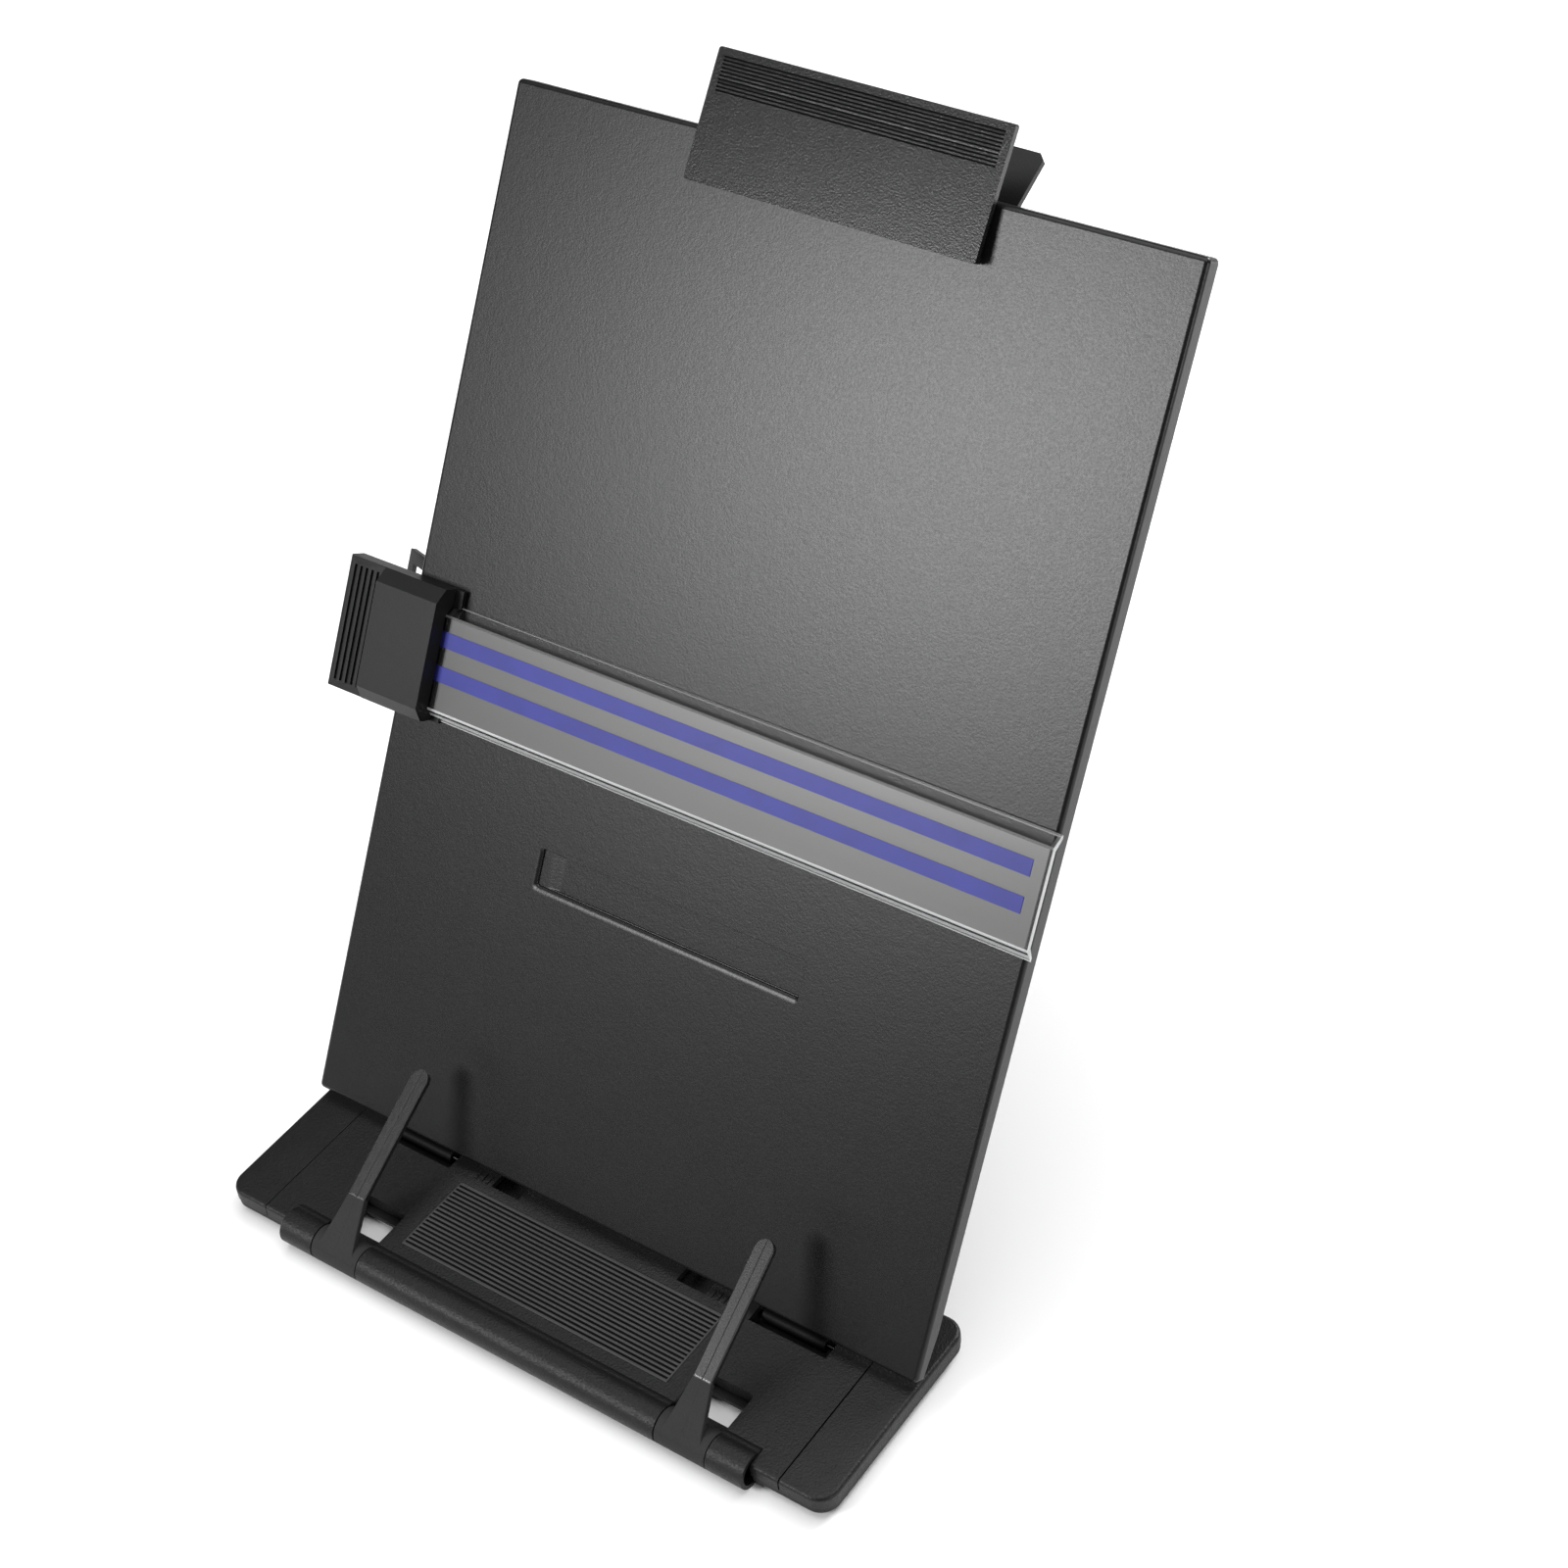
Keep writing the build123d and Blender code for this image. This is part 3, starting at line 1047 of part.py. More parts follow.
# The socket's bed fills the strip's channel, and its lips stand above and below the strip.
with BuildPart() as guide_socket:
    with BuildSketch(GUIDE_SIDE.offset(GUIDE_RIGHT)):
        with BuildLine():
            Polyline(
                (-GUIDE_HALF, BACK_EDGE),
                (-GUIDE_HALF, SOCKET_LIP),
                (GUIDE_HALF, SOCKET_LIP),
                (GUIDE_HALF, BACK_EDGE),
                close=True,
            )
        make_face()
        with BuildLine():
            strip_outline(0)
        make_face(mode=Mode.SUBTRACT)
        with BuildLine():
            strip_outline(STRIP_SHEET)
        make_face()
    extrude(amount=SOCKET_WIDTH)
finish(guide_socket, "guide_socket")

with BuildPart() as guide_strip:
    with BuildSketch(GUIDE_SIDE.offset(STRIP_LEFT)):
        with BuildLine():
            strip_outline(0)
        make_face()
    extrude(amount=STRIP_RIGHT - STRIP_LEFT)
    with BuildSketch(GUIDE_SIDE.offset(STRIP_LEFT)):
        with BuildLine():
            strip_outline(STRIP_SHEET)
        make_face()
    extrude(amount=STRIP_RIGHT - STRIP_LEFT - STRIP_SHEET, mode=Mode.SUBTRACT)
finish(guide_strip, "guide_strip")

line_left = GUIDE_RIGHT + LINE_START
line_right = STRIP_RIGHT - LINE_INSET
for centre, name in zip(LINE_PLACES, ("guide_line_upper", "guide_line_lower")):
    with BuildPart() as guide_line:
        with BuildSketch(GUIDE_FACE.offset(STRIP_OFF)):
            with Locations(((line_left + line_right) / 2, centre)):
                Rectangle(line_right - line_left, LINE_WIDTH)
        extrude(amount=LINE_THICKNESS)
    finish(guide_line, name)

with BuildPart() as guide_back_lever:
    guide_jaw_x = GUIDE_RIGHT - GUIDE_JAW_INSET
    with BuildSketch(GUIDE_CROSS.offset(GUIDE_BACK_HALF)):
        with BuildLine():
            Polyline(
                (guide_jaw_x, back_jaw),
                (guide_jaw_x, GUIDE_BEND_OFF + 0.4),
                (GUIDE_BEND_X, GUIDE_BEND_OFF),
                (GUIDE_BACK_LEFT, GUIDE_BACK_OFF),
            )
        trace(line_width=CLIP_BACK_SHEET)
    extrude(amount=-2 * GUIDE_BACK_HALF)
    # The grip is an open frame with bevelled corners
    with BuildSketch(GUIDE_FACE):
        with Locations(((GUIDE_BACK_LEFT + GUIDE_PIN_X - SINK * 2) / 2, 0)):
            Rectangle(
                GUIDE_PIN_X - GUIDE_BACK_LEFT - 2 * GUIDE_FRAME_SIDE,
                2 * (GUIDE_BACK_HALF - GUIDE_FRAME_END),
            )
    extrude(amount=1.5 * GUIDE_BACK_OFF, mode=Mode.SUBTRACT)
    for end in (-1, 1):
        with BuildSketch(GUIDE_CROSS.offset(-end * (GUIDE_EAR_UP - EAR_WIDTH / 2 - SIDE_GAP))):
            with Locations((GUIDE_PIN_X, GUIDE_PIN_OFF)):
                Circle(EAR_RADIUS)
            with Locations((GUIDE_PIN_X, GUIDE_PIN_OFF - 4.2)):
                Rectangle(2 * EAR_RADIUS, 8.4)
            with Locations((GUIDE_PIN_X, GUIDE_PIN_OFF)):
                Circle(GUIDE_PIN_RADIUS, mode=Mode.SUBTRACT)
        extrude(amount=end * EAR_WIDTH)
finish(guide_back_lever, "guide_back_lever")

with BuildPart() as guide_back_pad:
    with BuildSketch(GUIDE_CROSS.offset(GUIDE_BACK_HALF - JAW_SHORT)):
        with Locations((guide_jaw_x, back_jaw + PAD / 2)):
            Rectangle(JAW_WIDTH, PAD)
    extrude(amount=-2 * (GUIDE_BACK_HALF - JAW_SHORT))
finish(guide_back_pad, "guide_back_pad")

with BuildPart() as guide_pin:
    with BuildSketch(GUIDE_CROSS.offset(GUIDE_EAR_UP + EAR_WIDTH)):
        with Locations((GUIDE_PIN_X, GUIDE_PIN_OFF)):
            Circle(GUIDE_PIN_RADIUS)
    extrude(amount=-2 * GUIDE_EAR_UP - 2 * EAR_WIDTH)
    chamfer(guide_pin.edges().filter_by(GeomType.CIRCLE), 0.3)
finish(guide_pin, "guide_pin")

# ---- leaf springs: each is seated on a back lever, and its free end pushes the front grip away ----


def seat_on_lever(bend, tip, along):
    """A point on the middle of a spring that lies on a lever's inner face, from the lever's bend.

    The lever's middle runs straight from its bend to its tip, and the spring lies in front of it.
    """
    run = Vector(*tip) - Vector(*bend)
    run = run.normalized()
    inwards = Vector(-run.Y, run.X) if run.X > 0 else Vector(run.Y, -run.X)
    return Vector(*bend) + run * along + inwards * (CLIP_BACK_SHEET + SPRING_SHEET) / 2


with BuildPart() as clip_spring:
    clip_bend = CLIP_BEND
    clip_tip = (BACK_HIGH, CLIP_BACK_OFF)
    with BuildSketch(CLIP_SIDE.offset(-SPRING_WIDTH / 2)):
        with BuildLine():
            FilletPolyline(
                seat_on_lever(clip_bend, clip_tip, 16),
                seat_on_lever(clip_bend, clip_tip, 5),
                (6.0, -2.2),
                radius=1.4,
            )
        trace(line_width=SPRING_SHEET)
    extrude(amount=SPRING_WIDTH)
finish(clip_spring, "clip_spring")

with BuildPart() as guide_spring:
    guide_bend = (GUIDE_BEND_X, GUIDE_BEND_OFF)
    guide_tip = (GUIDE_BACK_LEFT, GUIDE_BACK_OFF)
    with BuildSketch(GUIDE_CROSS.offset(SPRING_WIDTH / 2)):
        with BuildLine():
            FilletPolyline(
                seat_on_lever(guide_bend, guide_tip, 3),
                seat_on_lever(guide_bend, guide_tip, 10.4),
                (GUIDE_PIN_X - 8.2, 3.8),
                radius=1.4,
            )
        trace(line_width=SPRING_SHEET)
    extrude(amount=-SPRING_WIDTH)
finish(guide_spring, "guide_spring")
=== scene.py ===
"""Copy holder with line guide: finishes, detailed pieces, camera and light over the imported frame."""

import logging
from dataclasses import dataclass, field
from enum import Enum
from math import radians

import bmesh
import bpy
import numpy as np
from mathutils import Matrix, Vector


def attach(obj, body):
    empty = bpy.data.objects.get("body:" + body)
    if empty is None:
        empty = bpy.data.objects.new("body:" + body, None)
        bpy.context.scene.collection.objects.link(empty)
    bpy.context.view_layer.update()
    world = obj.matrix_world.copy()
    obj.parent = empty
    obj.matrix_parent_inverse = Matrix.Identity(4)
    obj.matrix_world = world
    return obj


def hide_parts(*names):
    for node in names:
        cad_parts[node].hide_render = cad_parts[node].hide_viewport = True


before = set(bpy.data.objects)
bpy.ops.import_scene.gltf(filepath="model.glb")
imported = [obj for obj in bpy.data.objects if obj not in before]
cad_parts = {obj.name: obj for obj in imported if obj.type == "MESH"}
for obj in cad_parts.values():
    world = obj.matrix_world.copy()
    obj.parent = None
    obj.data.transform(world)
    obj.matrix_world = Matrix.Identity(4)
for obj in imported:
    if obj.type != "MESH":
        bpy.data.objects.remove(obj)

LOG = logging.getLogger("copy_holder")
MM = 0.001
Array = np.ndarray


# ---- finishes ---------------------------------------------------------------------------------


class Graph:
    """A material's node tree with one Principled shader, and short ways to add nodes to it."""

    def __init__(self, name: str) -> None:
        """Starts an empty tree.

        Args:
            name: the material's name.
        """
        self.material = bpy.data.materials.new(name)
        self.material.use_nodes = True
        self.tree = self.material.node_tree
        self.tree.nodes.clear()
        self.shader = self.tree.nodes.new("ShaderNodeBsdfPrincipled")
        output = self.tree.nodes.new("ShaderNodeOutputMaterial")
        self.tree.links.new(self.shader.outputs["BSDF"], output.inputs["Surface"])
        self.place = self.tree.nodes.new("ShaderNodeTexCoord").outputs["Object"]

    def join(self, source: bpy.types.NodeSocket, target: bpy.types.NodeSocket) -> None:
        """Links two sockets."""
        self.tree.links.new(source, target)

    def noise(self, size: float, detail: float = 2.0, stretch: tuple = (1, 1, 1)) -> bpy.types.NodeSocket:
        """Adds a noise whose lumps are about one size across.

        Args:
            size: lump size in millimetres.
            detail: octaves of finer noise.
            stretch: how many times longer the lumps are along each axis.

        Returns:
            The noise's value socket, from 0 to 1.
        """
        node = self.tree.nodes.new("ShaderNodeTexNoise")
        node.inputs["Scale"].default_value = 1.0 / (size * MM)
        node.inputs["Detail"].default_value = detail
        if stretch == (1, 1, 1):
            self.join(self.place, node.inputs["Vector"])
        else:
            mapping = self.tree.nodes.new("ShaderNodeMapping")
            mapping.inputs["Scale"].default_value = tuple(1 / part for part in stretch)
            self.join(self.place, mapping.inputs["Vector"])
            self.join(mapping.outputs["Vector"], node.inputs["Vector"])
        return node.outputs["Fac"]

    def attribute(self, name: str) -> bpy.types.NodeSocket:
        """Reads a value that a piece carries on its points."""
        node = self.tree.nodes.new("ShaderNodeAttribute")
        node.attribute_name = name
        return node.outputs["Fac"]

    def between(self, value: bpy.types.NodeSocket, low: float, high: float,
                start: float = 0.3, end: float = 0.7) -> bpy.types.NodeSocket:
        """Maps a value's span from start to end onto low to high.

        Args:
            value: the value to map.
            low: result at start.
            high: result at end.
            start: value that gives low.
            end: value that gives high.

        Returns:
            The mapped value's socket.
        """
        node = self.tree.nodes.new("ShaderNodeMapRange")
        self.join(value, node.inputs["Value"])
        for key, number in (("From Min", start), ("From Max", end), ("To Min", low), ("To Max", high)):
            node.inputs[key].default_value = number
        return node.outputs["Result"]

    def blend(self, factor: bpy.types.NodeSocket, first: tuple,
              second: tuple | bpy.types.NodeSocket) -> bpy.types.NodeSocket:
        """Mixes two colours by a factor.

        Args:
            factor: 0 gives the first colour and 1 the second.
            first: linear red, green and blue.
            second: linear red, green and blue, or another node's colour.

        Returns:
            The mixed colour's socket.
        """
        node = self.tree.nodes.new("ShaderNodeMix")
        node.data_type = "RGBA"
        self.join(factor, node.inputs[0])
        node.inputs[6].default_value = (*first, 1)
        if isinstance(second, tuple):
            node.inputs[7].default_value = (*second, 1)
        else:
            self.join(second, node.inputs[7])
        return node.outputs[2]

    def tint(self, size: float, dark: tuple, light: tuple) -> bpy.types.NodeSocket:
        """Gives a colour that drifts between two, with lumps of a size in millimetres."""
        return self.blend(self.between(self.noise(size, 3.0), 0, 1), dark, light)

    def paint(self, colour: bpy.types.NodeSocket, rough: bpy.types.NodeSocket) -> None:
        """Links a colour and a roughness to the shader."""
        self.join(colour, self.shader.inputs["Base Color"])
        self.join(rough, self.shader.inputs["Roughness"])

    def mixed(self, factor: bpy.types.NodeSocket, first: bpy.types.NodeSocket,
              second: bpy.types.NodeSocket) -> bpy.types.NodeSocket:
        """Mixes two values by a factor: 0 gives the first and 1 the second, and beyond 1 goes on."""
        node = self.tree.nodes.new("ShaderNodeMix")
        node.clamp_factor = False
        self.join(factor, node.inputs[0])
        self.join(first, node.inputs[2])
        self.join(second, node.inputs[3])
        return node.outputs[0]

    def across(self) -> bpy.types.NodeSocket:
        """Gives the place across the object, its x coordinate in metres."""
        node = self.tree.nodes.new("ShaderNodeSeparateXYZ")
        self.join(self.place, node.inputs[0])
        return node.outputs[0]

    def greater(self, first: bpy.types.NodeSocket, second: bpy.types.NodeSocket) -> bpy.types.NodeSocket:
        """Gives the greater of two values."""
        node = self.tree.nodes.new("ShaderNodeMath")
        node.operation = "MAXIMUM"
        self.join(first, node.inputs[0])
        self.join(second, node.inputs[1])
        return node.outputs[0]

    def bump(self, *layers: tuple) -> None:
        """Chains bumps onto the shader's normal.

        Args:
            layers: pairs of a height socket and its full height in millimetres.
        """
        last = None
        for height, depth in layers:
            node = self.tree.nodes.new("ShaderNodeBump")
            node.inputs["Strength"].default_value = 1.0
            node.inputs["Distance"].default_value = depth * MM
            self.join(height, node.inputs["Height"])
            if last is not None:
                self.join(last, node.inputs["Normal"])
            last = node.outputs["Normal"]
        self.join(last, self.shader.inputs["Normal"])

    def fixed(self, **numbers: float) -> None:
        """Sets constants on the shader's own sockets, with _ for a space in a socket's name."""
        for key, number in numbers.items():
            self.shader.inputs[key.replace("_", " ")].default_value = number


@dataclass(frozen=True)
class TexturedFinish:
    """A moulded, coated or rubbery surface with a grain, a slow swell and a little colour drift.

    Where a groove colour is given, points with a deep value of 1 take it as painted shade in the grooves and
    lose their gloss.
    """

    name: str
    dark: tuple
    light: tuple
    rough_low: float
    rough_high: float
    grain_size: float
    grain_height: float
    swell_size: float = 6.0
    swell_height: float = 0.0
    specular: float = 0.5
    groove: tuple = ()

    def build(self) -> bpy.types.Material:
        """Makes the material.

        Returns:
            The material, ready to go in a slot.
        """
        graph = Graph(self.name)
        grain = graph.noise(self.grain_size, 3.0)
        colour = graph.tint(self.swell_size * 4, self.dark, self.light)
        rough = graph.between(grain, self.rough_low, self.rough_high)
        # painted shade: the near-black groove colour darkens the grooves where shade falls
        if self.groove:
            deep = graph.attribute("deep")
            colour = graph.blend(graph.between(deep, 1, 0, 0, 1), self.groove, colour)
            rough = graph.greater(rough, deep)
        graph.paint(colour, rough)
        layers = [(grain, self.grain_height)]
        if self.swell_height:
            layers.insert(0, (graph.noise(self.swell_size, 1.0), self.swell_height))
        graph.bump(*layers)
        graph.fixed(Specular_IOR_Level=self.specular)
        return graph.material


@dataclass(frozen=True)
class ZonedFinish:
    """A moulding with two textures: worn smoother where its handled value is 1, coarser where it is 0."""

    name: str
    dark: tuple
    light: tuple
    smooth_low: float
    smooth_high: float
    coarse_low: float
    coarse_high: float
    grain_size: float
    grain_height: float
    specular: float = 0.5
    cloud_size: float = 14.0

    def build(self) -> bpy.types.Material:
        """Makes the material.

        Returns:
            The material, ready to go in a slot.
        """
        graph = Graph(self.name)
        handled = graph.attribute("handled")
        grain = graph.noise(self.grain_size, 3.0)
        drawn = graph.noise(0.5, 3.0, (1, 9, 9))
        smooth = graph.between(drawn, self.smooth_low, self.smooth_high)
        coarse = graph.between(grain, self.coarse_low, self.coarse_high)
        graph.paint(graph.tint(self.cloud_size, self.dark, self.light), graph.mixed(handled, coarse, smooth))
        graph.bump((drawn, self.grain_height * 0.4), (grain, self.grain_height))
        graph.fixed(Specular_IOR_Level=self.specular)
        return graph.material


@dataclass(frozen=True)
class BandedFinish:
    """A printed line that is darker left of a place across: partly the black socket seen through it, partly
    painted shade of the guide's block.
    """

    name: str
    dark: tuple
    light: tuple
    socket_and_shade: tuple
    line_shade_end: float
    open_start: float
    rough_low: float
    rough_high: float
    specular: float = 0.5

    def build(self) -> bpy.types.Material:
        """Makes the material.

        Returns:
            The material, ready to go in a slot.
        """
        graph = Graph(self.name)
        grain = graph.noise(0.2, 3.0)
        ink = graph.tint(12.0, self.dark, self.light)
        # darker left of a place across: partly the black socket seen through the ink, partly painted shade
        # from the guide's block
        across = graph.between(graph.across(), 0, 1, self.line_shade_end, self.open_start)
        graph.paint(graph.blend(across, self.socket_and_shade, ink),
                    graph.between(grain, self.rough_low, self.rough_high))
        graph.bump((grain, 0.004))
        graph.fixed(Specular_IOR_Level=self.specular)
        return graph.material


@dataclass(frozen=True)
class MetalFinish:
    """A metal surface with fine drawn lines along one axis, painted near black left of a place across as
    painted shade of the slot it lies in.
    """

    name: str
    dark: tuple
    light: tuple
    rough_low: float
    rough_high: float
    line_size: float
    line_height: float
    stretch: tuple = (12, 1, 1)
    pin_shade_end: float = -1.0
    slot_shade: tuple = (0.012, 0.012, 0.012)

    def build(self) -> bpy.types.Material:
        """Makes the material.

        Returns:
            The material, ready to go in a slot.
        """
        graph = Graph(self.name)
        lines = graph.noise(self.line_size, 4.0, self.stretch)
        colour = graph.tint(self.line_size * 20, self.dark, self.light)
        # painted shade: left of the place across, the pin is painted near black, as shade in its slot
        unshaded = graph.between(graph.across(), 0, 1, self.pin_shade_end - 0.2 * MM, self.pin_shade_end)
        graph.paint(graph.blend(unshaded, self.slot_shade, colour),
                    graph.between(lines, self.rough_low, self.rough_high))
        graph.bump((lines, self.line_height))
        graph.fixed(Metallic=1.0)
        return graph.material


@dataclass(frozen=True)
class ClearSheetFinish:
    """Clear sheet: a hazed front, clear flanges, and cut and bent edges painted bright as painted highlights,
    with a painted shadow along the upper edge.
    """

    name: str
    film: tuple
    edge: tuple
    flange_cover: float
    film_cover: float
    highlight_cover: float
    # painted shadow: a near-black colour and its cover, laid along the strip's upper edge where the flange
    # meets the panel
    painted_shadow: tuple = (0.002, 0.002, 0.002)
    painted_shadow_cover: float = 0.85

    def build(self) -> bpy.types.Material:
        """Makes the material from the piece's rim values (painted highlights), film values and shade values
        (painted shadow).

        Returns:
            The material, ready to go in a slot.
        """
        graph = Graph(self.name)
        rim = graph.attribute("rim")
        shade = graph.attribute("shade")
        streaks = graph.noise(1.8, 3.0, (30, 1, 1))
        body = graph.between(graph.attribute("film"), self.flange_cover, self.film_cover, 0, 1)
        # painted highlight: the rim value blends in the near-white edge colour on cut edges, bends and the
        # end wall, and paints the lower flange's reflection of the floor
        colour = graph.blend(rim, self.film, self.edge)
        # painted shadow: the shade value turns the colour near black along the upper edge
        colour = graph.blend(graph.between(shade, 1, 0, 0, 1), self.painted_shadow, colour)
        graph.paint(colour, graph.between(streaks, 0.30, 0.38))
        # the rim value also makes those painted highlights nearly opaque
        cover = graph.greater(body, graph.between(rim, 0, self.highlight_cover, 0, 1))
        # painted shadow: the shade value also makes that edge nearly opaque
        painted_shadow = graph.between(shade, 0, self.painted_shadow_cover, 0, 1)
        graph.join(graph.greater(cover, painted_shadow), graph.shader.inputs["Alpha"])
        graph.bump((streaks, 0.006))
        graph.fixed(IOR=1.49, Coat_Weight=1.0, Coat_Roughness=0.34)
        return graph.material


class Finish(Enum):
    """Every finish of the holder, each with what it is made of."""

    PANEL = TexturedFinish("panel_powder_coat", (0.0050, 0.0050, 0.0054), (0.0064, 0.0064, 0.0068),
                           0.30, 0.35, 0.75, 0.034, 2.6, 0.018, specular=0.315)
    BASE = TexturedFinish("base_moulded_plastic", (0.0060, 0.0060, 0.0064), (0.0080, 0.0080, 0.0084),
                          0.35, 0.49, 0.70, 0.200, 3.0, 0.010, specular=0.26)
    TRAY = TexturedFinish("tray_moulded_plastic", (0.0060, 0.0060, 0.0064), (0.0080, 0.0080, 0.0084),
                          0.40, 0.54, 0.65, 0.120, specular=0.22)
    FINGER = ZonedFinish("finger_moulded_plastic", (0.011, 0.011, 0.0115), (0.014, 0.014, 0.0145),
                         0.31, 0.42, 0.76, 0.86, 0.45, 0.060, specular=0.50)
    # the groove colours of the clip, the guide and the pad are painted shade in their grooves
    CLIP = TexturedFinish("clip_spark_eroded_plastic", (0.0085, 0.0085, 0.0090), (0.0110, 0.0110, 0.0115),
                          0.22, 0.29, 0.60, 0.060, specular=0.37, groove=(0.001, 0.001, 0.001))
    GUIDE = TexturedFinish("guide_moulded_plastic", (0.0070, 0.0070, 0.0074), (0.0090, 0.0090, 0.0094),
                           0.38, 0.46, 0.45, 0.040, specular=0.24, groove=(0.001, 0.001, 0.001))
    PAD = TexturedFinish("pad_soft_rubber", (0.036, 0.036, 0.0365), (0.046, 0.046, 0.0465),
                         0.40, 0.52, 0.40, 0.020, specular=0.24, groove=(0.001, 0.001, 0.001))
    LUG = TexturedFinish("lug_black_coat", (0.003, 0.003, 0.0032), (0.005, 0.005, 0.0053),
                         0.50, 0.62, 0.40, 0.020, specular=0.12)
    MAT = TexturedFinish("mat_cellular_rubber", (0.010, 0.010, 0.010), (0.016, 0.016, 0.016),
                         0.75, 0.90, 0.40, 0.05, specular=0.3)
    SOCKET = TexturedFinish("socket_soft_rubber", (0.004, 0.004, 0.0042), (0.006, 0.006, 0.0063),
                            0.34, 0.48, 0.30, 0.010, specular=0.2)
    # the third colour is the line over the socket: partly the socket seen through, partly painted shade of
    # the block
    LINE = BandedFinish("line_blue_print", (0.024, 0.028, 0.200), (0.028, 0.033, 0.240),
                        (0.008, 0.008, 0.070), -0.1058, -0.1050, 0.34, 0.42, specular=0.28)
    # the near-white second colour is painted highlight on edges and bends; the default near-black colour is
    # painted shadow along the upper edge
    STRIP = ClearSheetFinish("strip_clear_sheet", (0.050, 0.050, 0.049), (0.80, 0.81, 0.82),
                             0.02, 0.76, 0.80)
    SCREW = MetalFinish("screw_zinc_plate", (0.50, 0.50, 0.48), (0.62, 0.62, 0.60), 0.28, 0.42, 0.3, 0.004)
    PIN = MetalFinish("pin_polished_steel", (0.58, 0.58, 0.58), (0.68, 0.68, 0.68), 0.14, 0.26, 0.15, 0.002)
    # painted shade: the hinge pins are painted near black except near their right ends, as shade in the slots
    PIN_LEFT = MetalFinish("pin_left_steel", (0.58, 0.58, 0.58), (0.68, 0.68, 0.68), 0.16, 0.28,
                           0.15, 0.002, pin_shade_end=-0.0615)
    PIN_RIGHT = MetalFinish("pin_right_steel", (0.58, 0.58, 0.58), (0.68, 0.68, 0.68), 0.16, 0.28,
                            0.15, 0.002, pin_shade_end=0.0945)
    BRACKET = MetalFinish("bracket_black_steel", (0.055, 0.055, 0.058), (0.08, 0.08, 0.083),
                          0.34, 0.50, 0.25, 0.008, (1, 12, 1))
    RATCHET = MetalFinish("ratchet_stamped_steel", (0.40, 0.40, 0.39), (0.52, 0.52, 0.50),
                          0.30, 0.44, 0.2, 0.006, (1, 8, 8))
    SPRING = MetalFinish("spring_tempered_steel", (0.30, 0.30, 0.32), (0.42, 0.42, 0.44),
                         0.22, 0.34, 0.18, 0.003)


class Dresser:
    """Builds each finish once and puts it on pieces."""

    def __init__(self) -> None:
        """Starts with no material made."""
        self.made: dict[Finish, bpy.types.Material] = {}

    def material(self, finish: Finish) -> bpy.types.Material:
        """Gives a finish's material, made on first use."""
        if finish not in self.made:
            self.made[finish] = finish.value.build()
        return self.made[finish]

    def dress(self, piece: bpy.types.Object, finish: Finish) -> None:
        """Puts one finish in a piece's only slot."""
        piece.data.materials.clear()
        piece.data.materials.append(self.material(finish))


DRESSER = Dresser()


# ---- mesh helpers -----------------------------------------------------------------------------


@dataclass
class Surface:
    """Points and faces of one closed surface, in millimetres."""

    points: Array
    faces: list
    values: dict = field(default_factory=dict)


def loft(rings: Array, capped: bool = True) -> Surface:
    """Skins a stack of closed rings: point (i, j) joins (i, j+1) and (i+1, j), and j wraps round.

    Args:
        rings: points as (ring, place on ring, xyz).
        capped: closes the first and the last ring with one flat face each.

    Returns:
        The surface.
    """
    count, size, _ = rings.shape
    row, column = np.meshgrid(np.arange(count - 1), np.arange(size), indexing="ij")
    after = (column + 1) % size
    corners = (row * size + column, row * size + after, (row + 1) * size + after, (row + 1) * size + column)
    faces = np.stack([part.ravel() for part in corners], axis=1).tolist()
    if capped:
        faces.append(list(range(size))[::-1])
        faces.append([(count - 1) * size + place for place in range(size)])
    return Surface(rings.reshape(-1, 3), faces)


def joined(surfaces: list) -> Surface:
    """Puts several surfaces in one, with their face numbers moved along and missing values as 0."""
    points, faces, start = [], [], 0
    for part in surfaces:
        points.append(part.points)
        faces += [[number + start for number in face] for face in part.faces]
        start += len(part.points)
    keys = {key for part in surfaces for key in part.values}
    values = {
        key: np.concatenate([part.values.get(key, np.zeros(len(part.points))) for part in surfaces])
        for key in sorted(keys)
    }
    return Surface(np.concatenate(points), faces, values)


def make_piece(name: str, surface: Surface, finish: Finish, body: str,
               replaces: tuple = (), sharp: float = 38.0) -> bpy.types.Object:
    """Makes a piece of the holder from a surface, with its place in its mesh.

    Args:
        name: the piece's name.
        surface: points in millimetres and faces.
        finish: what it is dressed in.
        body: the body it rides on.
        replaces: nodes it stands for.
        sharp: edges that turn by more degrees than this stay sharp.

    Returns:
        The new object.
    """
    mesh = bpy.data.meshes.new(name)
    mesh.from_pydata((surface.points * MM).tolist(), [], surface.faces)
    for key, values in surface.values.items():
        layer = mesh.attributes.new(key, "FLOAT", "POINT")
        layer.data.foreach_set("value", values.astype(np.float32))
    work = bmesh.new()
    work.from_mesh(mesh)
    bmesh.ops.recalc_face_normals(work, faces=work.faces)
    work.to_mesh(mesh)
    work.free()
    piece = settle(name, mesh, finish, body, replaces, sharp)
    even = piece.modifiers.new("even_shading", "WEIGHTED_NORMAL")
    even.keep_sharp = True
    return piece


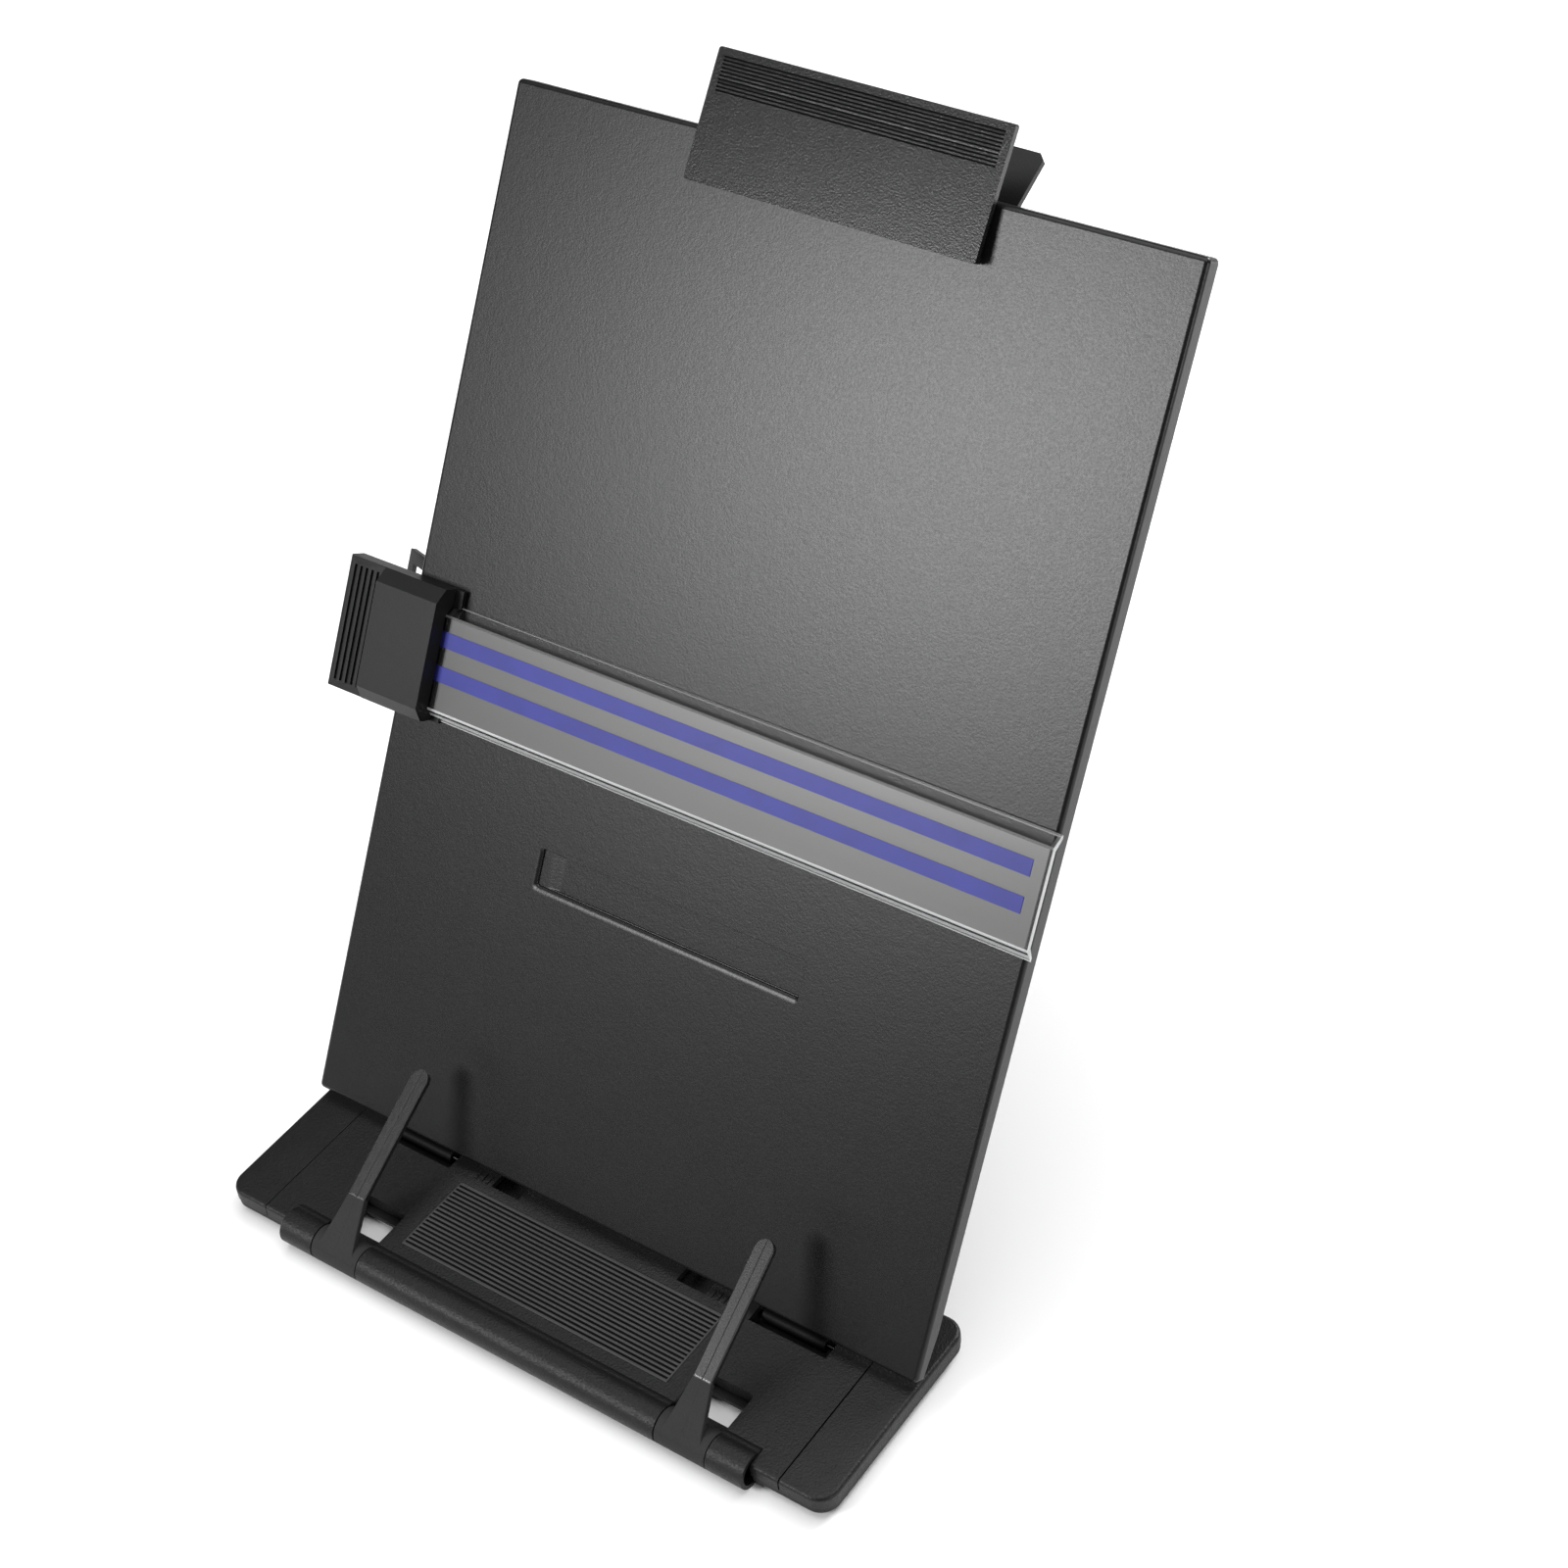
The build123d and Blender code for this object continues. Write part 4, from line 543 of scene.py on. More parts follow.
def settle(name: str, mesh: bpy.types.Mesh, finish: Finish, body: str,
           replaces: tuple, sharp: float) -> bpy.types.Object:
    """Puts a mesh in the scene as a piece that rides on a body.

    Args:
        name: the piece's name.
        mesh: its mesh, in metres.
        finish: what it is dressed in.
        body: the body it rides on.
        replaces: nodes it stands for.
        sharp: edges that turn by more degrees than this stay sharp.

    Returns:
        The new object.
    """
    mesh.shade_smooth()
    mesh.set_sharp_from_angle(angle=radians(sharp))
    piece = bpy.data.objects.new(name, mesh)
    bpy.context.scene.collection.objects.link(piece)
    DRESSER.dress(piece, finish)
    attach(piece, body)
    if replaces:
        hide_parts(*replaces)
    LOG.info("%s: %d faces", name, len(mesh.polygons))
    return piece


def softened(node: str, name: str, finish: Finish, body: str,
             round_edge: float = 0.25, segments: int = 2) -> bpy.types.Object:
    """Copies a node's merged mesh and rounds its edges, as a moulding's or a tumbled stamping's are.

    Args:
        node: the node it stands for.
        name: the new piece's name.
        finish: what it is dressed in.
        body: the body it rides on.
        round_edge: width of the rounding in millimetres.
        segments: steps of the rounding.

    Returns:
        The new object.
    """
    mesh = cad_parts[node].data.copy()
    mesh.name = name
    work = bmesh.new()
    work.from_mesh(mesh)
    bmesh.ops.remove_doubles(work, verts=work.verts, dist=2e-6)
    bmesh.ops.dissolve_limit(work, angle_limit=radians(0.6), verts=work.verts, edges=work.edges)
    work.to_mesh(mesh)
    work.free()
    piece = settle(name, mesh, finish, body, (node,), 30.0)
    bevel = piece.modifiers.new("soft_edges", "BEVEL")
    bevel.limit_method = "ANGLE"
    bevel.angle_limit = radians(32)
    bevel.width = round_edge * MM
    bevel.segments = segments
    bevel.use_clamp_overlap = True
    bevel.harden_normals = True
    return piece


def mark_grooves(piece: bpy.types.Object, normal: tuple, low: float, high: float) -> None:
    """Gives points a deep value of 1 where they lie in a groove, for painted shade there.

    The depth is measured under the plane of the largest face that looks along the normal, and a
    point is in a groove where its depth is between the two limits.

    Args:
        piece: the piece to mark.
        normal: the direction the grooved face looks in, nearly.
        low: least depth in millimetres.
        high: greatest depth in millimetres.
    """
    mesh = piece.data
    areas = np.array([face.area for face in mesh.polygons])
    normals = np.array([face.normal for face in mesh.polygons])
    facing = normals @ np.array(normal) > 0.97
    face = mesh.polygons[int(np.argmax(np.where(facing, areas, 0)))]
    places = np.zeros(len(mesh.vertices) * 3)
    mesh.vertices.foreach_get("co", places)
    depth = (np.array(face.center) - places.reshape(-1, 3)) @ np.array(face.normal) / MM
    layer = mesh.attributes.new("deep", "FLOAT", "POINT")
    layer.data.foreach_set("value", ((depth > low) & (depth < high)).astype(np.float32))


def rounded_outline(width: float, height: float, radius: float, steps: int, along: int) -> Array:
    """Points round a rectangle with round corners: quarter arcs joined by straight runs.

    Args:
        width: size along the first axis.
        height: size along the second axis.
        radius: corner radius.
        steps: steps of each corner arc.
        along: steps of each straight run.

    Returns:
        Points as (place, 2), counterclockwise, with steps + along places for each corner.
    """
    parts = []
    for quarter in range(4):
        signs = ((1, 1), (-1, 1), (-1, -1), (1, -1))[quarter]
        centre = np.array([signs[0] * (width / 2 - radius), signs[1] * (height / 2 - radius)])
        turn = np.radians(90 * quarter + np.linspace(0, 90, steps + 1))
        arc = centre + radius * np.stack([np.cos(turn), np.sin(turn)], axis=1)
        following = ((-1, 1), (-1, -1), (1, -1), (1, 1))[quarter]
        next_turn = np.radians(90 * (quarter + 1))
        next_start = np.array([following[0] * (width / 2 - radius), following[1] * (height / 2 - radius)])
        next_start = next_start + radius * np.array([np.cos(next_turn), np.sin(next_turn)])
        share = np.linspace(0, 1, along + 1)[1:-1, None]
        parts += [arc, arc[-1] + (next_start - arc[-1]) * share]
    return np.concatenate(parts)


@dataclass(frozen=True)
class PanelSpace:
    """The panel's own directions: x to the right, h up the face from its foot, off out of the face."""

    foot_y: float = 8.9
    foot_z: float = 14.87
    tilt: float = 58.78

    def place(self, x: Array, h: Array, off: Array) -> Array:
        """Gives points in the shared frame: foot + x across + h up the slope + off along the normal.

        Args:
            x: places across, millimetres.
            h: places up the face.
            off: places out of the face.

        Returns:
            Points as (..., 3).
        """
        rise, run = np.sin(np.radians(self.tilt)), np.cos(np.radians(self.tilt))
        x, h, off = np.broadcast_arrays(np.asarray(x, float), np.asarray(h, float), np.asarray(off, float))
        return np.stack([x, self.foot_y + h * run - off * rise, self.foot_z + h * rise + off * run], axis=-1)

    def normal(self) -> tuple:
        """The direction the panel's face looks in."""
        return 0.0, -float(np.sin(np.radians(self.tilt))), float(np.cos(np.radians(self.tilt)))


SPACE = PanelSpace()


# ---- the pieces -------------------------------------------------------------------------------


@dataclass
class Base:
    """The base: softened shells, tray and screws, the ribbed pad, the pins and the pawls."""

    top: float = 10.7
    front: float = -40.0
    pad_width: float = 110.7
    pad_front: float = -28.05
    pad_back: float = 3.05
    pad_proud: float = 0.15
    pad_under: float = 9.5
    border: float = 0.7
    ribs: int = 17
    groove_depth: float = 0.72
    rim_drop: float = 0.14
    rows_per_rib: int = 14
    land: float = 0.34
    plain: dict = field(default_factory=lambda: {
        "non_slip_mat": Finish.MAT, "base_screws": Finish.SCREW, "finger_axle_left": Finish.PIN,
        "finger_axle_right": Finish.PIN, "finger_washers": Finish.RATCHET,
        "hinge_pin_left": Finish.PIN_LEFT, "hinge_pin_right": Finish.PIN_RIGHT,
    })

    def build_pad(self) -> None:
        """Builds the pad as a height field: z = top - depth * groove(y) inside the border.

        groove(y) is a raised cosine of the place between two ribs, cut off below the land's share, so
        the ribs have narrow flat tops and round shoulders. A skirt and a flat underside close it.
        """
        pitch = (self.pad_back - self.pad_front - 2 * self.border) / self.ribs
        inner = self.pad_width / 2 - self.border
        x_half = np.array([inner - 2, inner - 0.25, inner - 0.06, inner + 0.08, inner + self.border - 0.15,
                           inner + self.border])
        x = np.concatenate([-x_half[::-1], [0.0], x_half])
        rows = np.arange(self.ribs * self.rows_per_rib + 1) / self.rows_per_rib
        y_inner = self.pad_front + self.border + pitch * rows
        y = np.concatenate([[self.pad_front, self.pad_front + 0.15], y_inner,
                            [self.pad_back - 0.15, self.pad_back]])
        phase = (y - self.pad_front - self.border) / pitch
        wave = 0.5 - 0.5 * np.cos(2 * np.pi * phase)
        groove = np.clip((wave - self.land) / (1 - self.land), 0, 1) ** 0.8
        groove = np.where((phase < 0) | (phase > self.ribs), 0, groove)
        inside = np.clip((inner + 0.08 - np.abs(x)) / 0.33, 0, 1)
        depth = self.groove_depth * groove[None, :] * (inside**0.8)[:, None]
        at_side = np.abs(x) > inner + self.border - 0.05
        at_end = (y < self.pad_front + 0.01) | (y > self.pad_back - 0.01)
        rounding = np.where(at_side[:, None] | at_end[None, :], self.rim_drop, 0)
        z = self.top + self.pad_proud - depth - rounding
        grid_x, grid_y = np.meshgrid(x, y, indexing="ij")
        upper = np.stack([grid_x, grid_y, z], axis=-1)
        # painted shade: points deep in the grooves get a value that the finish paints near black
        deep = np.clip(3.0 * depth / self.groove_depth - 0.5, 0, 1)
        self.make_slab("ribbed_pad_surface", upper, self.pad_under, deep)

    def make_slab(self, name: str, upper: Array, under: float, deep: Array) -> None:
        """Closes a height field with straight sides and a flat underside.

        Args:
            name: the piece's name.
            upper: points as (i, j, xyz).
            under: height of the underside.
            deep: the points' deep values as (i, j), painted shade in the grooves.
        """
        rows, columns, _ = upper.shape
        index = np.arange(rows * columns).reshape(rows, columns)
        corners_of = (index[:-1, :-1], index[1:, :-1], index[1:, 1:], index[:-1, 1:])
        quads = np.stack([part.ravel() for part in corners_of], axis=1)
        edge = np.concatenate([index[:-1, 0], index[-1, :-1], index[:0:-1, -1], index[0, :0:-1]])
        flat = upper.reshape(-1, 3)
        skirt = flat[edge].copy()
        skirt[:, 2] = under
        start = len(flat)
        size = len(edge)
        ring = np.arange(size)
        sides = np.stack([edge, np.roll(edge, -1), start + np.roll(ring, -1), start + ring], axis=1)
        faces = quads.tolist() + sides.tolist() + [(start + ring).tolist()]
        values = {"deep": np.concatenate([deep.ravel(), np.zeros(size)])}
        make_piece(name, Surface(np.concatenate([flat, skirt]), faces, values), Finish.PAD, "base",
                   ("ribbed_pad",), 50.0)

    def build(self) -> None:
        """Builds every piece of the base."""
        softened("base_centre_shell", "base_shell_moulding", Finish.BASE, "base", 0.3)
        for side in ("left", "right"):
            softened(f"base_end_{side}", f"base_end_moulding_{side}", Finish.BASE, "base",
                     0.3)
            softened(f"ratchet_pawl_{side}", f"pawl_blade_{side}", Finish.RATCHET, "base",
                     0.15)
        softened("base_bottom_tray", "bottom_tray_moulding", Finish.TRAY, "base", 0.25)
        self.build_pad()
        for node, finish in self.plain.items():
            DRESSER.dress(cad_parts[node], finish)


@dataclass
class BackPanel:
    """The pressed panel: one sheet bent back round its edge, with a shallow pressed recess."""

    width: float = 250.0
    height: float = 352.3
    sheet: float = 1.2
    bend: float = 1.6
    corner: float = 1.8
    flange: float = 6.8
    foot_flange: float = 4.5
    slope_start: float = 3.64
    slope_end: float = 5.5
    recess_width: float = 105.5
    recess_low: float = 101.6
    recess_high: float = 114.2
    recess_depth: float = 1.8
    foot_runs: tuple = (9.0, 0.4, 0.6, 0.4)
    foot_rise: float = 0.5
    lip_runs: tuple = (1.6, 0.3, 2.4, 0.3)
    lip_depth: float = 0.9
    stud_up: float = 172.0
    stud_x: float = 24.5
    stud_h: float = 7.0

    def flange_depth(self, h: Array) -> Array:
        """Depth of the flange at a height: shallow at the foot, then a slant up to the full depth."""
        share = np.clip((h - self.slope_start) / (self.slope_end - self.slope_start), 0, 1)
        return self.foot_flange + share * (self.flange - self.foot_flange)

    def outline(self, inset: float, radius: float) -> Array:
        """The panel's outline drawn in by an inset, as x and h."""
        outline = rounded_outline(self.width - 2 * inset, self.height - 2 * inset, radius, 8, 24)
        return outline + np.array([0, self.height / 2])

    def recess(self, grow: tuple) -> Array:
        """The recess's outline with its left, right, low and high edge moved out, as x and h."""
        left, right, low, high = grow
        width = self.recess_width + left + right
        tall = self.recess_high - self.recess_low + low + high
        outline = rounded_outline(width, tall, max(1.2 + min(grow), 0.4), 8, 24)
        return outline + np.array([(right - left) / 2, (self.recess_low + self.recess_high + high - low) / 2])

    def build_sheet(self) -> Surface:
        """Skins the whole sheet with rings, each an outline at one depth.

        The recess's floor rises to its edge by rise * s(f), a smooth step of the share f of the foot
        run, which is long at the left. Its lip is a quarter ellipse, wide at the left and below. Then
        the rings cross the face, go round the bend (inset = r - r sin t, depth = r - r cos t), down
        the flange, and back along the inside.
        """
        steps = np.radians(np.linspace(0, 90, 7))
        rings = []
        for share in (0.0, 0.1, 0.2, 0.3, 0.4, 0.5, 0.6, 0.8, 1.0):
            smooth = np.clip(share / 0.6, 0, 1)
            smooth = smooth * smooth * (3 - 2 * smooth)
            grow = tuple(-run * (1 - share) for run in self.foot_runs)
            rings.append((self.recess(grow), -self.recess_depth + self.foot_rise * smooth))
        for turn in steps:
            grow = tuple(run * (1 - np.cos(turn)) for run in self.lip_runs)
            rings.append((self.recess(grow), -self.lip_depth * (1 - np.sin(turn))))
        for turn in steps:
            inset = self.bend * (1 - np.sin(turn))
            outline = self.outline(inset, max(self.corner - inset, 0.25))
            rings.append((outline, -self.bend * (1 - np.cos(turn))))
        for inset, short in ((0.0, 0.2), (0.2, 0.0), (self.sheet - 0.2, 0.0), (self.sheet, 0.2)):
            outline = self.outline(inset, max(self.corner - inset, 0.6))
            rings.append((outline, -self.flange_depth(outline[:, 1]) + short))
        inner_bend = 0.6
        for turn in steps[::-1]:
            inset = self.sheet + inner_bend * (1 - np.sin(turn))
            rings.append((self.outline(inset, 0.6), -self.sheet - inner_bend * (1 - np.cos(turn))))
        for out, down in ((0.2, 0.0), (0.0, 0.2), (0.0, self.recess_depth - 0.2), (-0.2, self.recess_depth)):
            rings.append((self.recess((self.sheet + out,) * 4), -self.sheet - down))
        points = np.stack([SPACE.place(outline[:, 0], outline[:, 1], off) for outline, off in rings])
        return loft(points)

    def build_studs(self) -> list:
        """Four welded studs: rings of a circle whose radius ripples as a thread does."""
        turn = np.radians(np.arange(20) * 18)
        down = np.concatenate([np.linspace(0.0, 4.6, 37), [5.0]])
        radius = 1.42 + 0.08 * np.cos(2 * np.pi * down / 0.5)
        radius[-1] = 1.1
        studs = []
        for side in (-1, 1):
            for level in (-1, 1):
                x = side * self.stud_x + radius[:, None] * np.cos(turn)
                h = self.stud_up + level * self.stud_h + radius[:, None] * np.sin(turn)
                studs.append(loft(SPACE.place(x, h, -self.sheet - down[:, None])))
        return studs

    def build(self) -> None:
        """Builds the sheet with its studs, and dresses what is fixed to it."""
        surface = joined([self.build_sheet(), *self.build_studs()])
        make_piece("panel_pressing", surface, Finish.PANEL, "panel", ("back_panel",), 32.0)
        for side in ("left", "right"):
            softened(f"hinge_lug_{side}", f"hinge_lug_stamping_{side}", Finish.LUG, "panel",
                     0.15)
            softened(f"ratchet_sector_{side}", f"sector_stamping_{side}", Finish.RATCHET, "panel",
                     0.12)
        softened("prop_bracket", "prop_bracket_stamping", Finish.BRACKET, "panel", 0.2)
        softened("bracket_nuts", "bracket_nut_set", Finish.SCREW, "panel", 0.2)
        DRESSER.dress(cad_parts["prop_pin"], Finish.PIN)


@dataclass
class PropLeg:
    """The leg behind the panel with its rubber shoe."""

    def build(self) -> None:
        """Builds the leg and the shoe from their nodes with rounded edges."""
        softened("prop_leg", "prop_leg_stamping", Finish.BRACKET, "prop", 0.25)
        softened("prop_shoe", "prop_shoe_moulding", Finish.MAT, "prop", 0.5)


@dataclass
class PageFinger:
    """A page finger: a hub on the front bar, a foot that tapers to the knee and a narrow arm."""

    side: int
    raise_angle: float
    centre: float = 72.0
    bar_y: float = -38.8
    bar_z: float = 6.6
    hub_radius: float = 6.2
    hub_width: float = 19.6
    bore: float = 1.95
    pocket_radius: float = 4.2
    pocket: float = 0.6
    knee_reach: float = 20.8
    knee_lead: float = 20.0
    tip_reach: float = 66.0
    foot_width: float = 14.8
    arm_width: float = 7.0
    thickness: float = 2.4
    rounding: float = 0.45
    seam: float = 0.22
    flare: float = 1.6
    knee_wear: float = 1.35

    def reach(self, distance: float, angle: float) -> Array:
        """A place in the side view (y, z) at a distance from the bar's middle and an angle."""
        turn = np.radians(angle)
        return np.array([self.bar_y + distance * np.cos(turn), self.bar_z + distance * np.sin(turn)])

    def root_angles(self) -> tuple:
        """The angles, at the bar's middle, of the knee and of the place where the foot leaves the hub."""
        knee_angle = self.raise_angle + self.knee_lead
        return knee_angle, knee_angle + np.degrees(np.arccos(self.hub_radius / self.knee_reach))

    def build_blade(self) -> Surface:
        """Carries a rounded section from the hub over the knee to the round tip.

        Each ring is the section scaled to the blade's half width; at the knee the ring lies in the
        mitre of the two straight runs, and near the tip the half width follows a semicircle. At the
        hub the half width grows by flare * e^(-distance / 1.2), a fillet.
        """
        knee_angle, touch_angle = self.root_angles()
        touch = self.reach(self.hub_radius, touch_angle)
        knee = self.reach(self.knee_reach, knee_angle)
        tip = self.reach(self.tip_reach, self.raise_angle)
        foot_run = (knee - touch) / np.linalg.norm(knee - touch)
        arm_run = (tip - knee) / np.linalg.norm(tip - knee)
        foot_in = np.array([foot_run[1], -foot_run[0]])
        arm_in = np.array([arm_run[1], -arm_run[0]])
        mitre = (foot_in + arm_in) / (1 + foot_in @ arm_in)
        stations, handled = [], []
        foot_length = np.linalg.norm(knee - touch)
        for along in (-1.5, 0.0, 0.8, 1.8, 3.2, 0.5 * foot_length, foot_length - 0.6):
            share = (along + 1.5) / (foot_length + 1.5)
            width = self.foot_width + (self.arm_width - self.foot_width) * share
            flare = self.flare * np.exp(-max(along, 0) / 1.2)
            stations.append((touch + foot_run * along, foot_in, width / 2 + flare))
            handled.append(0.0)
        stations.append((knee, mitre, self.arm_width / 2))
        handled.append(self.knee_wear)
        arm_length = np.linalg.norm(tip - knee)
        straight = arm_length - self.arm_width / 2
        for along in (0.5, 0.35 * straight, 0.7 * straight, straight):
            stations.append((knee + arm_run * along, arm_in, self.arm_width / 2))
            handled.append(1.0)
        for turn in np.radians([15, 30, 45, 58, 70, 80, 86]):
            along = straight + self.arm_width / 2 * np.sin(turn)
            stations.append((knee + arm_run * along, arm_in, self.arm_width / 2 * np.cos(turn)))
            handled.append(1.0)
        rings = []
        for place, inward, half in stations:
            section = self.section(half)
            y = place[0] + inward[0] * section[:, 1]
            z = place[1] + inward[1] * section[:, 1]
            rings.append(np.stack([self.side * self.centre + section[:, 0], y, z], axis=1))
        surface = loft(np.stack(rings))
        surface.values = {"handled": np.repeat(handled, len(rings[0]))}
        return surface

    def section(self, half: float) -> Array:
        """The blade's section as (across, depth below the outer face), with a fine seam on top.

        Args:
            half: half of the blade's width.

        Returns:
            Points round the section.
        """
        edge = min(self.rounding, half * 0.45)
        turn = np.radians(np.linspace(0, 90, 5))
        right = np.stack([half - edge + edge * np.sin(turn), edge - edge * np.cos(turn)], axis=1)
        low = np.stack([half - edge + edge * np.cos(turn),
                        self.thickness - edge + edge * np.sin(turn)], axis=1)
        seam_half = min(self.seam, half * 0.2)
        seam = np.array([[0.0, 0.07], [seam_half * 0.6, 0.03], [seam_half, 0.0]])
        one_side = np.concatenate([seam, right, low])
        other = one_side[1:][::-1] * np.array([-1, 1])
        return np.concatenate([one_side, other])

    def build_hub(self) -> Surface:
        """Turns the hub's profile round the bar: outer round, end rounding, washer pocket and bore."""
        half = self.hub_width / 2
        edge = 0.4
        profile = np.array([
            (-half + self.pocket, self.bore), (-half + self.pocket, self.pocket_radius),
            (-half, self.pocket_radius), (-half, self.hub_radius - edge),
            (-half + 0.3 * edge, self.hub_radius - 0.3 * edge), (-half + edge, self.hub_radius),
            (half - edge, self.hub_radius), (half - 0.3 * edge, self.hub_radius - 0.3 * edge),
            (half, self.hub_radius - edge), (half, self.pocket_radius),
            (half - self.pocket, self.pocket_radius), (half - self.pocket, self.bore),
        ])
        turn = np.radians(np.arange(72) * 5)
        rings = np.stack([
            np.broadcast_to(self.side * self.centre + profile[:, :1], (len(profile), 72)),
            self.bar_y + profile[:, 1:] * np.cos(turn), self.bar_z + profile[:, 1:] * np.sin(turn),
        ], axis=-1)
        closed = np.concatenate([rings, rings[:1]])
        return loft(closed, capped=False)

    def build_rib(self) -> Surface:
        """The stiffening rib under the knee: a flat four-sided plate 2 mm thick."""
        knee_angle, touch_angle = self.root_angles()
        knee = self.reach(self.knee_reach, knee_angle)
        corners = np.array([
            self.reach(self.hub_radius, touch_angle), knee - np.array([0, self.thickness]),
            self.reach(self.knee_reach + 12, knee_angle - 9) - np.array([0, self.thickness]),
            self.reach(self.hub_radius - 1, knee_angle - 60),
        ])
        corners[0] += (corners[2] - corners[0]) * 0.05
        rings = np.stack([
            np.column_stack([np.full(4, self.side * self.centre + offset), corners]) for offset in (-1.0, 1.0)
        ])
        return loft(rings)

    def build(self) -> None:
        """Builds the finger as one piece."""
        word = "left" if self.side < 0 else "right"
        surface = joined([self.build_hub(), self.build_blade(), self.build_rib()])
        make_piece(f"page_finger_moulding_{word}", surface, Finish.FINGER, f"finger_{word}",
                   (f"page_finger_{word}",), 30.0)


@dataclass
class TopClip:
    """The spring clip on the panel's top edge: two levers on a pin with rubber jaws and a spring."""

    plain: dict = field(default_factory=lambda: {
        "clip_pin": Finish.PIN, "clip_front_pad": Finish.SOCKET, "clip_back_pad": Finish.SOCKET,
        "clip_spring": Finish.SPRING,
    })

    def build(self) -> None:
        """Builds the levers with rounded edges and dresses the rest."""
        lever = softened("clip_front_lever", "clip_front_moulding", Finish.CLIP, "clip_front",
                         0.12)
        # painted shade: the clip's grooves are painted near black
        mark_grooves(lever, SPACE.normal(), 0.4, 0.6)
        softened("clip_back_lever", "clip_back_moulding", Finish.GUIDE, "clip", 0.35)
        for node, finish in self.plain.items():
            DRESSER.dress(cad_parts[node], finish)


@dataclass
class LineGuide:
    """The line guide: front and back lever, the socket, and the clear strip with its two lines."""

    up: float = 164.1
    strip_left: float = -113.0
    strip_right: float = 126.8
    band_end: float = -104.4
    strip_middle: float = -2.2
    half: float = 20.0
    face_half: float = 16.2
    front_off: float = 5.0
    back_off: float = 1.0
    sheet: float = 1.3
    groove_low: float = 4.55
    groove_high: float = 4.85
    plain: dict = field(default_factory=lambda: {
        "guide_pin": Finish.PIN, "guide_back_pad": Finish.SOCKET, "guide_spring": Finish.SPRING,
        "guide_line_upper": Finish.LINE, "guide_line_lower": Finish.LINE,
    })

    def strip_section(self) -> Array:
        """The bent strip's section, as rows of up, off, rim and film; the rim value is painted highlight.

        The rows run up the outer face, from the lower cut edge over the lower flange, the hazed
        front and the clear upper flange, and come back down the inner face.
        """
        lean = (self.half - self.face_half) / (self.front_off - self.back_off)
        # rim values here paint bright lines on the cut edges and bends, and the lower flange's reflection of
        # the floor: painted highlight
        lower = [(1.0, 0.9), (1.42, 0.9), (1.52, 0.2), (2.15, 0.2), (2.25, 0.8), (3.45, 0.8), (3.55, 0.15),
                 (4.35, 0.15), (4.45, 0.9), (4.75, 0.9)]
        upper = [(4.75, 0.35), (4.65, 0.0), (1.85, 0.0), (1.75, 0.45), (1.52, 0.45), (1.42, 0.0), (1.0, 0.0)]
        front = [(-self.face_half + 0.15, 0.9, 0), (-self.face_half + 0.5, 0.6, 0),
                 (-self.face_half + 0.6, 0.0, 1), (self.face_half - 0.6, 0.0, 1),
                 (self.face_half - 0.5, 0.3, 0), (self.face_half - 0.15, 0.35, 0)]
        rows = [(lean * (off - self.back_off) - self.half, off, rim, 0) for off, rim in lower]
        rows += [(up, self.front_off, rim, film) for up, rim, film in front]
        rows += [(self.half - lean * (off - self.back_off), off, rim, 0) for off, rim in upper]
        inner = self.front_off - self.sheet
        fold = self.face_half - 0.7 * self.sheet
        rows += [(self.half - self.sheet, self.back_off, 0.0, 0), (fold, inner, 0, 0), (-fold, inner, 0, 0),
                 (-self.half + self.sheet, self.back_off, 0.0, 0)]
        return np.array(rows)

    def build_strip(self) -> None:
        """Carries the strip's bent section from left to right, closed by an end wall at the right.

        Each point's rim value, a painted highlight, is 1 at the cut edges and bends; its film value is 1 on
        the front; and its shade value, a painted shadow, is 1 along the upper edge, where the flange meets
        the panel.
        """
        section = self.strip_section()
        end = self.strip_right
        # each station gives x, a rim value that paints highlights at the band's end and on the end wall, and
        # a film value
        stations = np.array([
            (self.strip_left, 0, 0), (self.band_end - 2.0, 0, 0), (self.band_end - 1.9, 0.12, 0),
            (self.band_end - 0.1, 0.12, 0), (self.band_end, 0, 1), (end - self.sheet - 0.1, 0, 1),
            (end - self.sheet, 0.30, 0), (end - self.sheet + 0.2, 0.30, 0), (end - self.sheet + 0.3, 0.12, 0),
            (end - 0.35, 0.15, 0), (end - 0.25, 0.8, 0), (end, 0.8, 0),
        ])
        points = SPACE.place(stations[:, :1], self.up + self.strip_middle + section[None, :, 0],
                             section[None, :, 1])
        surface = loft(points)
        # the shade value is painted shadow along the upper cut edge, right of the dark band
        along = np.clip((stations[:, 0] - self.band_end) / 0.1, 0, 1)[:, None]
        cut = ((section[:, 0] > self.half - 0.35) & (section[:, 1] < 1.45))[None, :]
        surface.values = {
            "rim": np.maximum(section[None, :, 2], stations[:, 1:2]).ravel(),
            "film": (section[None, :, 3] * stations[:, 2:3]).ravel(),
            "shade": (along * cut).ravel(),
        }
        make_piece("guide_strip_sheet", surface, Finish.STRIP, "guide_front",
                   ("guide_strip",), 20.0)

    def build(self) -> None:
        """Builds the guide's pieces."""
        lever = softened("guide_front_lever", "guide_front_moulding", Finish.GUIDE, "guide_front",
                         0.18)
        # painted shade: the grip grooves are painted near black
        mark_grooves(lever, SPACE.normal(), self.groove_low, self.groove_high)
        softened("guide_back_lever", "guide_back_moulding", Finish.GUIDE, "guide", 0.35)
        softened("guide_socket", "guide_socket_moulding", Finish.SOCKET, "guide_front", 0.2)
        self.build_strip()
        for node, finish in self.plain.items():
            DRESSER.dress(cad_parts[node], finish)


# ---- studio -----------------------------------------------------------------------------------


